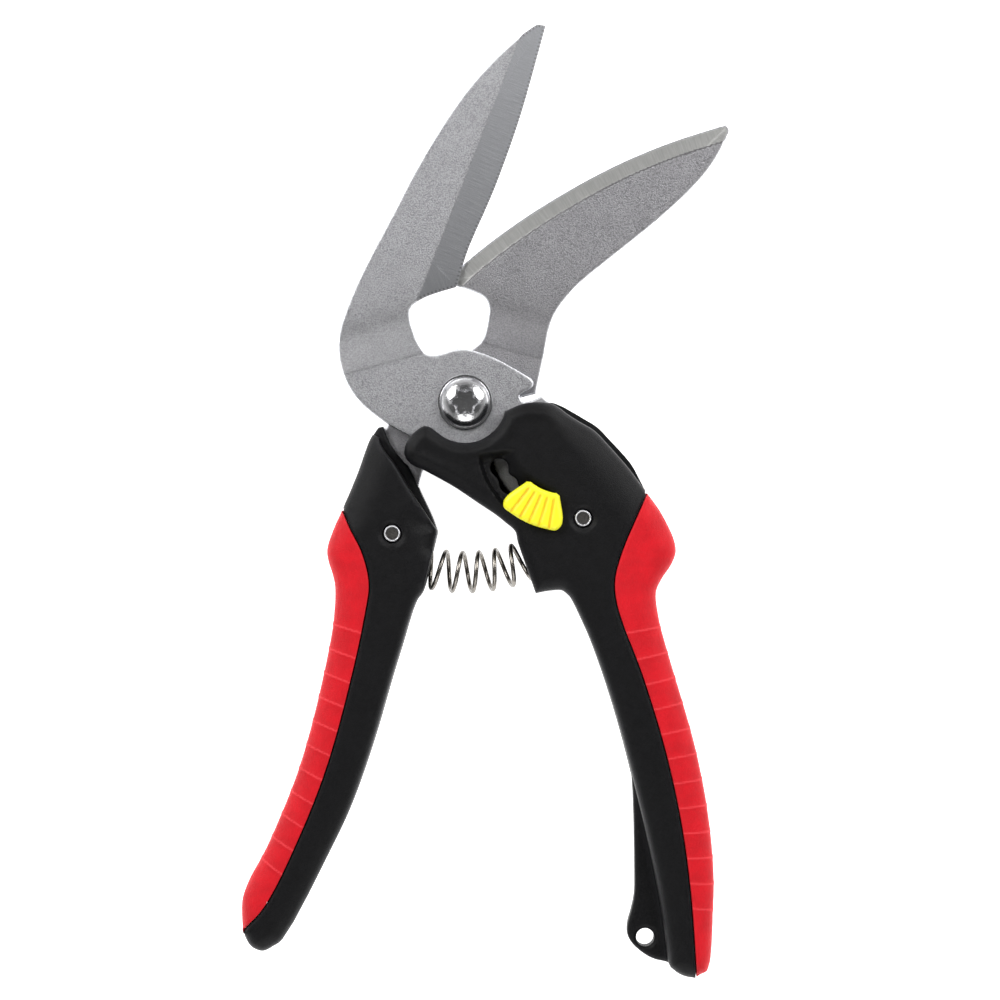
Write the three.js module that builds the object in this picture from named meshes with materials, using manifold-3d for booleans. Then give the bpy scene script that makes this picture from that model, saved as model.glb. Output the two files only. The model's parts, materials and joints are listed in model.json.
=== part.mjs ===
// Bypass pruning shears: two cranked steel blades on one pivot bolt, handles of two plastic casings
// with a soft grip each, a coil spring bent round the pivot and a swinging thumb lock.
// Millimetres. The origin is the rear end of the pivot bolt; +Y runs to the blade tips and +Z out of
// the face that carries the lock. The shears are drawn open, lying on the backs of their handles.
import * as THREE from 'three';
import * as BufferGeometryUtils from 'three/addons/utils/BufferGeometryUtils.js';
import Module from 'manifold-3d';

const wasm = await Module();
wasm.setup();

// ---- Driving dimensions ---------------------------------------------------------------------
const degree = Math.PI / 180;
const bladeReach = 79;                 // pivot to blade tip
const handleReach = 121;               // pivot to handle end
const handleThickness = 16;
const plateThickness = 2.35;           // both blades are stamped from this sheet
const bevelWidth = 6.5;                // ground face of the upper blade
const groundEdge = 0.45;               // what grinding leaves at the cutting edge
const gap = 0.3;                       // between any two pieces that touch or slide
const crankRise = 4.5;                 // how far the blades are set forward of the pivot
const crankRun = 7.2;                  // length of the sloping part
const closingAngle = 31 * degree;
const closedClearance = 0.45;           // between the two handles when the shears are closed
const ledgeRadius = 18.1;              // left handle's upper end, round the bolt
const lockSwing = 45 * degree;
const casingRound = 1.8;               // rounding of the casing edges
const gripThickness = 2.4;             // soft skin over the core of each handle
const coreOverlap = 1.5;               // how far the core is rooted in the casings

const boltRadius = 3;
const boltHeadRadius = 5.4;
const boltFlangeRadius = 5.9;
const boltHeadHeight = 3.5;
const socketRadius = 2.8;
const socketDepth = 2;
const nutAcrossFlats = 10;
const nutHeight = 3;
const waveWasherThickness = 0.5;
const hubRadius = 11.6;                // lower blade round the bolt
const tangSweepReach = 26;             // room for the lower blade's tang inside the right handle
const rimRadius = 8.7;                 // casing cut-out round the bolt head

const rivetRadius = 1.75;
const rivetHeadRadius = 2.9;
const rivetHeadHeight = 1;
const rivetSetBack = 1;                // rear head inside the back face
const rivetSink = 0.4;                 // front end under the casing's face
const rivetWasherRadius = 3.6;
const rivetWasherThickness = 0.7;
const rivetRecessDepth = 0.7;

const springAxisRadius = 36;           // the coil's axis is an arc round the pivot
const springRadius = 4.6;              // outside of the coil
const springWire = 0.95;
const springTurns = 8.5;
const springFrom = -13.4 * degree;     // mouths of the two spring cups, from straight down
const springTo = 20.9 * degree;
const springCupDepth = 3.5;
const springCupClearance = 0.4;

const lockPivot = [20.7, -8.7];
const lockPinRadius = 1.6;
const lockPinHeadRadius = 2.6;
const lockPinHeadHeight = 0.8;
const lockPlateThickness = 1.2;
const stemRadius = 1.3;
const stemReach = 14.4;                // lock pivot to button stem
const stemAngle = 24 * degree;         // from straight down, towards the blades
const latchPinRadius = 1.2;
const latchReach = 16.9;               // lock pivot to latch pin
const latchAngle = 27 * degree;
const leverReach = latchReach + latchPinRadius + 0.7;
const leverEyeRadius = 3.6;            // lever plate round its pivot
const earReach = 16.4;                 // pivot to the tip of the ear that the latch pin holds
const earWidth = 12 * degree;
const buttonThickness = 2.2;
const buttonInner = 10.7;
const buttonOuter = 18.4;
const buttonSpan = [1 * degree, 47 * degree];
const buttonFootHalfWidth = 2;
const recessDepth = 1.9;
const tabThickness = 4.2;              // web with the hanging hole
const hangingHole = [38.1, -113.2];
const hangingHoleRadius = 1.9;

// ---- Heights that follow from them ----------------------------------------------------------
const splitHeight = handleThickness / 2;
const upperPlateBottom = splitHeight + gap / 2;
const upperPlateTop = upperPlateBottom + plateThickness;
const lowerPlateTop = splitHeight - gap / 2;
const lowerPlateBottom = lowerPlateTop - plateThickness;
const lockPlateBottom = upperPlateTop + gap;
const lockPlateTop = lockPlateBottom + lockPlateThickness;
const recessFloor = handleThickness - recessDepth;
const beyond = 60;                     // cutters run this far past what they cut

// ---- Outline helpers: every outline is a list of [x, y] -------------------------------------
/** A smooth open run through hand-placed points. */
function smooth(points, steps = 3) {
  const path = new THREE.CatmullRomCurve3(
    points.map(([x, y]) => new THREE.Vector3(x, y, 0)), false, 'centripetal');
  return path.getPoints((points.length - 1) * steps).map((p) => [p.x, p.y]);
}

/** Points on a circular arc, both ends included. */
function arc(centre, radius, from, to, steps = 8) {
  return Array.from({ length: steps + 1 }, (_, i) => {
    const angle = from + ((to - from) * i) / steps;
    return [centre[0] + radius * Math.cos(angle), centre[1] + radius * Math.sin(angle)];
  });
}

/** Joins runs end to end, dropping points that repeat. */
function join(...runs) {
  const all = runs.flat();
  return all.filter(([x, y], i) => {
    const [px, py] = all[(i + all.length - 1) % all.length];
    return Math.hypot(x - px, y - py) > 0.02;
  });
}

/** Slides the points lying past `start` along `axis`, so that `drawn` lands on `wanted`. */
function stretch(points, axis, start, drawn, wanted) {
  const [ux, uy] = [Math.cos(axis), Math.sin(axis)];
  const factor = (wanted - start) / (drawn - start) - 1;
  return points.map(([x, y]) => {
    const extra = Math.max(0, x * ux + y * uy - start) * factor;
    return [x + extra * ux, y + extra * uy];
  });
}

/** Moves an open or closed run sideways by `distance`, to the left of its direction. */
function offset(points, distance, closed = false) {
  const last = points.length - 1;
  return points.map(([x, y], i) => {
    const before = points[closed ? (i + last) % (last + 1) : Math.max(0, i - 1)];
    const after = points[closed ? (i + 1) % (last + 1) : Math.min(last, i + 1)];
    const [dx, dy] = [after[0] - before[0], after[1] - before[1]];
    const length = Math.hypot(dx, dy);
    return [x - (distance * dy) / length, y + (distance * dx) / length];
  });
}

/** An outline grown outwards by `distance`, whichever way round it runs. */
function grown(outline, distance) {
  const area = THREE.ShapeUtils.area(outline.map(([x, y]) => new THREE.Vector2(x, y)));
  return offset(outline, area > 0 ? -distance : distance, true);
}

/** A point placed round the lock pivot; the angle starts straight down and turns to the blades. */
function lockPoint(radius, angle) {
  return [lockPivot[0] - radius * Math.sin(angle), lockPivot[1] - radius * Math.cos(angle)];
}

/** A point on a circle round the bolt; the angle starts straight down and turns to the right. */
function springPoint(radius, angle) {
  return [radius * Math.sin(angle), -radius * Math.cos(angle)];
}

/** A banana-shaped slot round the lock pivot with round ends. */
function lockSlot(radius, halfWidth, from, to) {
  const [start, end] = [-Math.PI / 2 - from, -Math.PI / 2 - to];
  return join(
    arc(lockPivot, radius + halfWidth, start, end, 8),
    arc(lockPoint(radius, to), halfWidth, end, end - Math.PI, 6),
    arc(lockPivot, radius - halfWidth, end, start, 8),
    arc(lockPoint(radius, from), halfWidth, start + Math.PI, start, 6));
}

// ---- Solid helpers --------------------------------------------------------------------------
/** A manifold solid from a closed three.js geometry. */
function solid(geometry) {
  geometry.deleteAttribute('normal');
  geometry.deleteAttribute('uv');
  const merged = BufferGeometryUtils.mergeVertices(geometry, 1e-4);
  return new wasm.Manifold(new wasm.Mesh({
    numProp: 3,
    vertProperties: new Float32Array(merged.attributes.position.array),
    triVerts: new Uint32Array(merged.index.array),
  }));
}

function shapeOf(outline) {
  return new THREE.Shape(outline.map(([x, y]) => new THREE.Vector2(x, y)));
}

/** A flat piece with upright sides between two heights. */
function prism(outline, bottom, top) {
  const geometry = new THREE.ExtrudeGeometry(shapeOf(outline),
    { depth: top - bottom, bevelEnabled: false });
  return solid(geometry.translate(0, 0, bottom));
}

/** A flat piece whose outer edges are rounded over at both heights. */
function rounded(outline, bottom, top, round) {
  const geometry = new THREE.ExtrudeGeometry(shapeOf(outline), {
    depth: top - bottom - 2 * round, bevelEnabled: true, bevelThickness: round,
    bevelSize: round, bevelOffset: -round, bevelSegments: 2,
  });
  return solid(geometry.translate(0, 0, bottom + round));
}

function disc(centre, radius, bottom, top, sides = 24) {
  const geometry = new THREE.CylinderGeometry(radius, radius, top - bottom, sides);
  return solid(geometry.rotateX(Math.PI / 2).translate(...centre, (top + bottom) / 2));
}

/** A turned piece: the profile is a list of [radius, height] from axis to axis. */
function turned(profile, centre, sides = 28) {
  const geometry = new THREE.LatheGeometry(profile.map(([r, z]) => new THREE.Vector2(r, z)), sides);
  return solid(geometry.rotateX(Math.PI / 2).translate(...centre, 0));
}

/** A flat ring. */
function ring(centre, inner, outer, bottom, top) {
  return disc(centre, outer, bottom, top).subtract(disc(centre, inner, bottom - 1, top + 1));
}

function slab(bottom, top) {
  const size = 4 * (bladeReach + handleReach);
  return solid(new THREE.BoxGeometry(size, size, top - bottom).translate(0, 0, (top + bottom) / 2));
}

function pie(radius, from, to, bottom, top) {
  return prism([[0, 0], ...arc([0, 0], radius, from, to, 12)], bottom, top);
}

function mesh(name, body, colour, roughness, metalness) {
  const { vertProperties, triVerts } = body.getMesh();
  const geometry = new THREE.BufferGeometry();
  geometry.setAttribute('position', new THREE.BufferAttribute(vertProperties, 3));
  geometry.setIndex(new THREE.BufferAttribute(triVerts, 1));
  const material = new THREE.MeshStandardMaterial({ color: colour, roughness, metalness });
  const piece = new THREE.Mesh(geometry, material);
  piece.name = name;
  return piece;
}

const steel = (name, body) => mesh(name, body, 0xa6a6aa, 0.42, 1);
const brightSteel = (name, body) => mesh(name, body, 0xd6d6d8, 0.18, 1);
const blackPlastic = (name, body) => mesh(name, body, 0x1e1e21, 0.55, 0);
const redRubber = (name, body) => mesh(name, body, 0xe0232b, 0.6, 0);
const yellowPlastic = (name, body) => mesh(name, body, 0xf7ee3c, 0.45, 0);

// ---- Outlines of the two blades -------------------------------------------------------------
const drawnBladeReach = 79;
const bladeStretchStart = 30;
const upperBladeAxis = 77.8 * degree;
const lowerBladeAxis = 46.3 * degree;
const upperCrank = { angle: 105.4 * degree, start: 13.1 };
const lowerCrank = { angle: 75.7 * degree, start: 13.8 };

const drawUpperBlade = (points) =>
  stretch(points, upperBladeAxis, bladeStretchStart, drawnBladeReach, bladeReach);
const drawLowerBlade = (points) =>
  stretch(points, lowerBladeAxis, bladeStretchStart, drawnBladeReach, bladeReach);

const drawnHandleReach = 121;
const handleStretchStart = 45;
const drawHandle = (points) =>
  stretch(points, -90 * degree, handleStretchStart, drawnHandleReach, handleReach);

const rightRivet = [24.8, -24.5];
const leftRivet = [-15.2, -27.7];

/** Upper blade: spine, hidden heel, arc that the latch pin follows, tang, window side, edge. */
function upperBladeOutline() {
  const latchEdge = latchReach - latchPinRadius - 0.35;
  return join(
    smooth(drawUpperBlade([[15.15, 79.1], [11.6, 76.5], [5.4, 70.8], [-0.7, 63.7], [-8.5, 51.7],
      [-15.6, 38.4], [-22.9, 24.1], [-26.2, 14.6], [-26.2, 7.6], [-23.3, 1.3], [-17.6, -3.8],
      [-7, -9.4]])),
    smooth([[-7, -9.4], [-1, -11.6], lockPoint(latchEdge, 78 * degree)]),
    arc(lockPivot, latchEdge, -168 * degree, -110 * degree, 8),
    smooth(drawHandle([[15.7, -26.5], [20.9, -36.5], [27, -46], [31.3, -58], [34, -67.5]])),
    smooth(drawHandle([[38.3, -67.5], [37.6, -58], [35, -46], [34.6, -38], [37.3, -31],
      [35.6, -23], [31.5, -16], [25.6, -9], [19.5, -1.6]])),
    smooth([[16.25, 1.3], [12.5, -0.1], [11.6, 1.5], [14, 3], [14.5, 4.2], [13.75, 5.1]], 2),
    smooth([[13.75, 5.1], [6.8, 9.1], [0, 11.2], [-3.2, 10.8], [-5.9, 9.95], [-8, 10.2],
      [-9.7, 11.9], [-10.8, 14.4], [-11.6, 17.6], [-11.4, 19.5], [-8.5, 21.8], [-1.7, 24.1]], 2),
    smooth(drawUpperBlade([[-1.7, 24.1], [0.6, 31.7], [6.1, 44.4], [11.6, 59.7], [15.9, 74.9],
      [17, 78.9]])));
}

/** Lock lever turned by `swing` from its free position. */
function leverOutline(swing) {
  const at = (radius, angle) => lockPoint(radius, angle * degree + swing);
  return join(smooth([at(leverEyeRadius, 200), at(leverEyeRadius, 110), at(9, 44), at(leverReach - 3.3, 38),
    at(leverReach, 31), at(leverReach, 23), at(leverReach - 3.3, 14), at(9, 6), at(leverEyeRadius, -70),
    at(leverEyeRadius, -160)], 4));
}

/** Position of the latch pin once the lock is home: distance and direction from the bolt. */
function latchHome() {
  const [x, y] = lockPoint(latchReach, latchAngle + lockSwing);
  return { distance: Math.hypot(x, y), direction: Math.atan2(y, x) };
}

/** Directions of the ear's two sides, seen on the open blade. */
function earSides() {
  const home = latchHome();
  const clearance = Math.asin((latchPinRadius + gap) / home.distance);
  const near = home.direction - closingAngle + clearance;
  return [near, near + earWidth];
}

/** Lower blade: cutting edge, spine, hub with its ear, tang, window side. */
function lowerBladeOutline() {
  const [earNear, earFar] = earSides();
  return join(
    smooth(drawLowerBlade([[-4.2, 25.2], [-0.5, 28.7], [6.4, 34.3], [17.6, 41.9], [31.3, 49.5],
      [43.4, 54.6], [55, 58.3]])),
    smooth(drawLowerBlade([[55.7, 57.1], [53.3, 52], [49.7, 47], [41.9, 39.4], [29.4, 29.2],
      [23.3, 24.1], [18.6, 17.8], [16.5, 8.9], [15, 1.9]])),
    arc([0, 0], hubRadius, 5 * degree, earFar, 6),
    arc([0, 0], earReach, earFar, earNear, 2),
    arc([0, 0], hubRadius, earNear, -112 * degree, 2),
    smooth([[-8.9, -14.4], [-9.7, -16.8], [-11, -28.5]]),
    smooth(drawHandle([[-11, -28.5], [-14.2, -39.5], [-17.6, -48], [-21, -60]])),
    smooth(drawHandle([[-25, -60], [-22.5, -48], [-21.5, -38], [-21.4, -28], [-20.2, -20],
      [-18.6, -12], [-17.2, -6]])),
    arc([0, 0], hubRadius, 160 * degree, 97 * degree, 5),
    smooth([[1.1, 11.2], [3.8, 13.5], [4.9, 17.8], [5.1, 19.7], [4.6, 21.4], [3.2, 22.6],
      [-4.2, 25.2]], 2));
}

// ---- Outlines of the two handles ------------------------------------------------------------
// Each grip has as many points on its front edge as on the handle's outer edge, place by place.
const rightGripLine = smooth(drawHandle([[38.4, -19.3], [36.2, -24.1], [33, -31.7], [31.5, -37.8],
  [32.2, -43.5], [37.2, -57.1], [41.9, -72.4], [45.3, -87.6], [47.4, -102.8], [48.7, -120.8]]));
const rightOuterEdge = smooth(drawHandle([[38.4, -19.3], [41.7, -24.1], [44.4, -31.7], [40.4, -39.4],
  [40.5, -43.8], [44.1, -57.1], [48.5, -72.4], [51.4, -87.6], [52.5, -102.8], [51.1, -119.6]]));
const leftGripLine = smooth(drawHandle([[-25.8, -22.9], [-24.1, -26.7], [-21.6, -31.7],
  [-20.1, -38.2], [-20.9, -44.4], [-24.2, -59.6], [-29.2, -77.4], [-35.3, -92.7], [-41.7, -105.4],
  [-46.4, -111]]));
const leftOuterEdge = smooth(drawHandle([[-25.8, -22.9], [-27.7, -27], [-29, -31.7], [-27.4, -38.2],
  [-27.5, -44.4], [-30.3, -59.6], [-35.1, -77.4], [-41.3, -92.7], [-46.7, -104.2],
  [-46.6, -111.3]]));

/** Right handle; `shoulder` is how far the back casing stands out at the upper right. */
function rightHandleOutline(shoulder) {
  return join(
    arc([0, 0], rimRadius, -14 * degree, -130 * degree, 12),
    smooth([[-5.7, -6.6], [-8.15, -5.1], [-11.6, -7.6], [-12.7, -10.8], [-11.6, -12.9],
      [-8.9, -14.3]], 2),
    smooth([[-8.9, -14.3], [-2.5, -17.8], [2.75, -21.3], [7.3, -24.4], [10.6, -27.3]]),
    [[11.2, -29.7], [14.9, -40.3]],
    smooth([[14.9, -40.3], [20.4, -39.7], [22.4, -41.5]], 2),
    smooth(drawHandle([[22.4, -41.5], [26.2, -49.5], [31.5, -64.8], [36.4, -83.4], [40.9, -104.3],
      [42.9, -118.5]])),
    smooth(drawHandle([[42.9, -118.5], [45, -120.2], [48.2, -121], [51.1, -119.6]]), 2),
    rightOuterEdge.toReversed(),
    smooth([[38.4, -19.3], [34.5 + shoulder, -14 + shoulder], [30 + shoulder, -8.9 + shoulder]], 2),
    smooth([[27.3 + shoulder, -6.1 + shoulder], [21.7 + shoulder, -2.7 + shoulder],
      [18.2, -0.4 + shoulder / 2], [12.2, -0.5], [8.5, -2.1]], 2));
}

/** Thin web beside the right handle's lower end. */
function tabOutline() {
  return join(
    smooth(drawHandle([[35.2, -76], [35.6, -90], [35.8, -104.3], [34.4, -112.8], [38.7, -117.2],
      [44, -118.8]])),
    drawHandle([[44, -104.3], [38, -83.4]]));
}

/** Left handle, before its blade side is trimmed to meet the right handle. */
function leftHandleOutline() {
  return join(
    smooth([[-18.2, -5.2], [-20, -8], [-22.4, -14.6], [-25.8, -22.9]], 2),
    leftOuterEdge,
    smooth(drawHandle([[-46.6, -111.3], [-45, -114.3], [-42.2, -115.4], [-38.3, -113]]), 2),
    smooth(drawHandle([[-38.3, -113], [-32.8, -102.8], [-25, -87.6], [-19.5, -72.4], [-15, -57.1],
      [-10.3, -42.2]])),
    smooth([[-8.9, -40.2], [-6.8, -31.7], [-5.4, -25.5], [-4, -18], [-6, -5]], 2));
}

/** Edge of the tall part of the left front casing; the low ledge lies to its right. */
function leftRidge() {
  return join(smooth([[-17.9, 4], [-17.9, -8.5], [-14.7, -13.1], [-11.5, -18.5], [-6.4, -26.2]], 2),
    [[0, -30], [10, -30], [10, 4]]);
}

// ---- Handles --------------------------------------------------------------------------------
/** Region on the outer side of a grip line, moved inwards by `shift`; `side` is +1 on the right. */
function gripCutter(line, side, shift) {
  const edge = offset(line, side > 0 ? -shift : shift);
  const far = side * beyond;
  const [first, last] = [edge[0], edge[edge.length - 1]];
  return prism([...edge, [last[0], last[1] - 20], [last[0] + far, last[1] - 20],
    [first[0] + far, first[1] + 6], [first[0] + side, first[1] + 6 - side * 0.01]],
  -beyond, beyond);
}

/** Part of the casings that carries the grip from inside, with `clearance` cut off all round. */
function gripCore(line, edge, side, clearance) {
  const skin = gripThickness + clearance;
  const outer = edge.map(([x, y], i) => {
    const [lx, ly] = line[i];
    const width = Math.hypot(x - lx, y - ly);
    const share = Math.max(0, 1 - skin / Math.max(width, 1e-6));
    return [lx + (x - lx) * share, ly + (y - ly) * share];
  });
  const inner = offset(line, side > 0 ? -coreOverlap : coreOverlap);
  const count = outer.length - 3;
  const tongue = [...inner.slice(2, count), ...outer.slice(2, count).toReversed()];
  return prism(join(tongue), skin, handleThickness - skin);
}

function gripOf(outline, line, edge, side) {
  return rounded(outline, 0, handleThickness, casingRound)
    .intersect(gripCutter(line, side, 0))
    .subtract(gripCore(line, edge, side, 0));
}

/** Both casings of a handle as one body, before it is split and fitted. */
function handleBody(outline, line, edge, side) {
  return rounded(outline, 0, handleThickness, casingRound)
    .subtract(gripCutter(line, side, gap))
    .add(gripCore(line, edge, side, gap));
}

const frontHalf = (body) => body.intersect(slab(upperPlateBottom, handleThickness + 1));
const backHalf = (body) => body.intersect(slab(-1, lowerPlateTop));

/** Round cup for one end of the spring, opening towards the other handle. */
function springCup(mouth, direction) {
  const radius = springRadius + springCupClearance;
  const depth = springCupDepth + gap;
  const length = depth + beyond / 4;
  const geometry = new THREE.CylinderGeometry(radius, radius, length, 24);
  const middle = springPoint(springAxisRadius, mouth);
  const shift = direction * (depth - length / 2);
  geometry.rotateZ(Math.PI / 2).translate(shift, 0, 0);
  geometry.rotateZ(mouth + (direction * springCupDepth) / (2 * springAxisRadius));
  return solid(geometry.translate(...middle, splitHeight));
}

function rivetHole(centre) {
  const counterbore = rivetWasherRadius + gap;
  const backDepth = rivetSetBack + rivetHeadHeight + gap + rivetWasherThickness + gap;
  return disc(centre, rivetRadius + gap, -1, handleThickness + 1)
    .add(disc(centre, rivetRadius + 0.5, handleThickness - rivetRecessDepth, handleThickness + 1))
    .add(disc(centre, counterbore, -1, backDepth));
}

/** Room that the latch pin needs along its swing. */
function latchPath(bottom, top) {
  return prism(lockSlot(latchReach, latchPinRadius + 0.4, latchAngle, latchAngle + lockSwing),
    bottom, top);
}

/** Room for the lever at both ends of its swing and all the way between. */
function leverRoom() {
  const [bottom, top] = [lockPlateBottom - gap, lockPlateTop + gap];
  const middle = [lockPivot, ...arc(lockPivot, leverReach + 2 * gap, -Math.PI / 2 - latchAngle,
    -Math.PI / 2 - latchAngle - lockSwing, 10)];
  return prism(grown(leverOutline(0), gap), bottom, top)
    .add(prism(grown(leverOutline(lockSwing), gap), bottom, top))
    .add(prism(middle, bottom, top))
    .add(disc(lockPivot, leverEyeRadius + 2 * gap, bottom, top));
}

function hangingHoleCutter() {
  const [centre] = drawHandle([hangingHole]);
  return disc(centre, hangingHoleRadius, -1, handleThickness + 1);
}

function lanyardTab() {
  return rounded(tabOutline(), splitHeight - tabThickness / 2, splitHeight + tabThickness / 2, 0.8);
}

function rightFrontCasing() {
  const body = handleBody(rightHandleOutline(0), rightGripLine, rightOuterEdge, 1);
  const slot = lockSlot(stemReach, stemRadius + gap, stemAngle, stemAngle + lockSwing);
  const recess = lockSlot((buttonInner + buttonOuter) / 2 - 0.05,
    (buttonOuter - buttonInner) / 2 - 0.25, 12 * degree, 68 * degree);
  return frontHalf(body.add(lanyardTab()))
    .subtract(prism(grown(upperBladeOutline(), gap), -1, upperPlateTop + gap))
    .subtract(leverRoom())
    .subtract(latchPath(0, lockPlateTop))
    .subtract(disc(lockPivot, lockPinHeadRadius + gap, lockPlateTop - 1,
      lockPlateTop + lockPinHeadHeight + 2 * gap))
    .subtract(prism(slot, lockPlateTop - 1, handleThickness + 1))
    .subtract(prism(recess, recessFloor, handleThickness + 1))
    .subtract(springCup(springTo, 1))
    .subtract(rivetHole(rightRivet))
    .subtract(hangingHoleCutter());
}

/** Room behind the split for everything on the lower blade that turns inside the right handle. */
function lowerBladeSweep() {
  const floor = lowerPlateBottom - gap;
  const [earNear, earFar] = earSides();
  const margin = 2 * degree;
  return disc([0, 0], hubRadius + gap, floor, splitHeight, 40)
    .add(pie(earReach + gap, earNear - margin, earFar + closingAngle + margin, floor, splitHeight))
    .add(pie(tangSweepReach, -185 * degree, -87 * degree, floor, splitHeight));
}

function rightBackCasing() {
  const body = handleBody(rightHandleOutline(0.8), rightGripLine, rightOuterEdge, 1);
  return backHalf(body.add(lanyardTab()))
    .subtract(lowerBladeSweep())
    .subtract(latchPath(lowerPlateBottom - gap, splitHeight))
    .subtract(disc(lockPivot, lockPinHeadRadius + gap, lowerPlateBottom, splitHeight))
    .subtract(springCup(springTo, 1))
    .subtract(rivetHole(rightRivet))
    .subtract(hangingHoleCutter());
}

/** The right handle's space once the handles are closed, seen from the open left handle. */
function closedRightHandle() {
  return prism(grown(rightHandleOutline(0), closedClearance), -1, handleThickness + 1)
    .rotate(0, 0, -closingAngle / degree);
}

function leftHandleBody() {
  return handleBody(leftHandleOutline(), leftGripLine, leftOuterEdge, -1)
    .subtract(closedRightHandle())
    .subtract(disc([0, 0], ledgeRadius, -1, handleThickness + 1, 96));
}

function leftFrontCasing() {
  const ledgeTop = upperPlateTop - gap;
  return frontHalf(leftHandleBody())
    .subtract(prism(leftRidge(), ledgeTop, handleThickness + 1))
    .subtract(springCup(springFrom, -1))
    .subtract(rivetHole(leftRivet));
}

function leftBackCasing() {
  return backHalf(leftHandleBody())
    .subtract(prism(grown(lowerBladeOutline(), gap), lowerPlateBottom - gap, splitHeight))
    .subtract(springCup(springFrom, -1))
    .subtract(rivetHole(leftRivet));
}

// ---- Blades ---------------------------------------------------------------------------------
/** Sheet bent once forward and once back along lines square to the crank direction. */
function bentSheet(bottom, crank) {
  const slope = Math.atan2(crankRise, crankRun);
  const shift = plateThickness * Math.tan(slope / 2);
  const far = 3 * (bladeReach + handleReach);
  const top = bottom + plateThickness;
  const rampEnd = crank.start + crankRun;
  const profile = [[-far, bottom], [crank.start, bottom], [rampEnd, bottom + crankRise],
    [far, bottom + crankRise], [far, top + crankRise], [rampEnd - shift, top + crankRise],
    [crank.start - shift, top], [-far, top]];
  const geometry = new THREE.ExtrudeGeometry(shapeOf(profile),
    { depth: 2 * far, bevelEnabled: false });
  geometry.translate(0, 0, -far);
  const [ux, uy] = [Math.cos(crank.angle), Math.sin(crank.angle)];
  const turn = new THREE.Matrix4().makeBasis(new THREE.Vector3(ux, uy, 0),
    new THREE.Vector3(0, 0, 1), new THREE.Vector3(uy, -ux, 0));
  return solid(geometry.applyMatrix4(turn));
}

/** Wedge that grinds the upper blade's face down towards its cutting edge. */
function bevelWedge() {
  const top = upperPlateTop + crankRise;
  const [[ax, ay], [bx, by]] = drawUpperBlade([[-9.9, 21.6], [11, 74.9]]);
  const along = new THREE.Vector3(bx - ax, by - ay, 0).normalize();
  const across = new THREE.Vector3(along.y, -along.x, 0);
  const drop = plateThickness - groundEdge;
  const profile = [[0, top], [2 * bevelWidth, top - 2 * drop], [2 * bevelWidth, top + 4], [0, top + 4]];
  const geometry = new THREE.ExtrudeGeometry(shapeOf(profile),
    { depth: 2 * bladeReach, bevelEnabled: false });
  geometry.applyMatrix4(new THREE.Matrix4().makeBasis(across, new THREE.Vector3(0, 0, 1),
    along.clone().negate()));
  return solid(geometry.translate(ax + 1.5 * bladeReach * along.x, ay + 1.5 * bladeReach * along.y, 0));
}

function plateHoles(rivet) {
  return disc([0, 0], boltRadius + gap, -beyond, beyond)
    .add(disc(rivet, rivetRadius + gap, -beyond, beyond));
}

function upperBlade() {
  return bentSheet(upperPlateBottom, upperCrank)
    .intersect(prism(upperBladeOutline(), -beyond, beyond))
    .subtract(bevelWedge())
    .subtract(plateHoles(rightRivet))
    .subtract(disc(lockPivot, lockPinRadius + gap, -beyond, beyond));
}

function lowerBlade() {
  return bentSheet(lowerPlateBottom, lowerCrank)
    .intersect(prism(lowerBladeOutline(), -beyond, beyond))
    .subtract(plateHoles(leftRivet));
}

// ---- Pivot hardware -------------------------------------------------------------------------
/** Button-head bolt with a thin flange and a six-lobe socket. */
function pivotBolt() {
  const seat = upperPlateTop + gap;
  const flangeTop = seat + 0.6;
  const dome = Array.from({ length: 7 }, (_, i) => {
    const angle = (i / 6) * 90 * degree;
    return [boltHeadRadius * Math.cos(angle), flangeTop + (boltHeadHeight - 0.6) * Math.sin(angle)];
  });
  dome[6] = [0, flangeTop + boltHeadHeight - 0.6];
  const profile = [[0, 0], [boltRadius - 0.4, 0], [boltRadius, 0.4], [boltRadius, seat],
    [boltFlangeRadius, seat], [boltFlangeRadius, flangeTop], ...dome];
  const lobes = Array.from({ length: 36 }, (_, i) => {
    const angle = i * 10 * degree;
    const radius = socketRadius * (0.87 + 0.13 * Math.cos(6 * angle));
    return [radius * Math.cos(angle), radius * Math.sin(angle)];
  });
  const top = seat + boltHeadHeight;
  return turned(profile, [0, 0]).subtract(prism(lobes, top - socketDepth, top + 1));
}

function waveWasher() {
  const top = lowerPlateBottom - gap;
  return ring([0, 0], boltRadius + gap, nutAcrossFlats / 2 + 1, top - waveWasherThickness, top);
}

function pivotNut() {
  const top = lowerPlateBottom - 2 * gap - waveWasherThickness;
  const corner = nutAcrossFlats / Math.sqrt(3);
  const hexagon = arc([0, 0], corner, 0, 300 * degree, 5);
  return prism(hexagon, top - nutHeight, top)
    .subtract(disc([0, 0], boltRadius + gap, -1, handleThickness));
}

// ---- Rivets ---------------------------------------------------------------------------------
function handleRivet(centre) {
  const front = handleThickness - rivetSink;
  const headTop = rivetSetBack + rivetHeadHeight;
  const [dimple, floor] = [rivetRadius - 0.5, front - 0.4];
  return turned([[0, rivetSetBack], [rivetHeadRadius, rivetSetBack], [rivetHeadRadius, headTop],
    [rivetRadius, headTop], [rivetRadius, front], [dimple, front], [dimple - 0.15, floor],
    [0, floor]], centre, 24);
}

function rivetWasher(centre) {
  const bottom = rivetSetBack + rivetHeadHeight + gap;
  return ring(centre, rivetRadius + gap, rivetWasherRadius, bottom, bottom + rivetWasherThickness);
}

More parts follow.
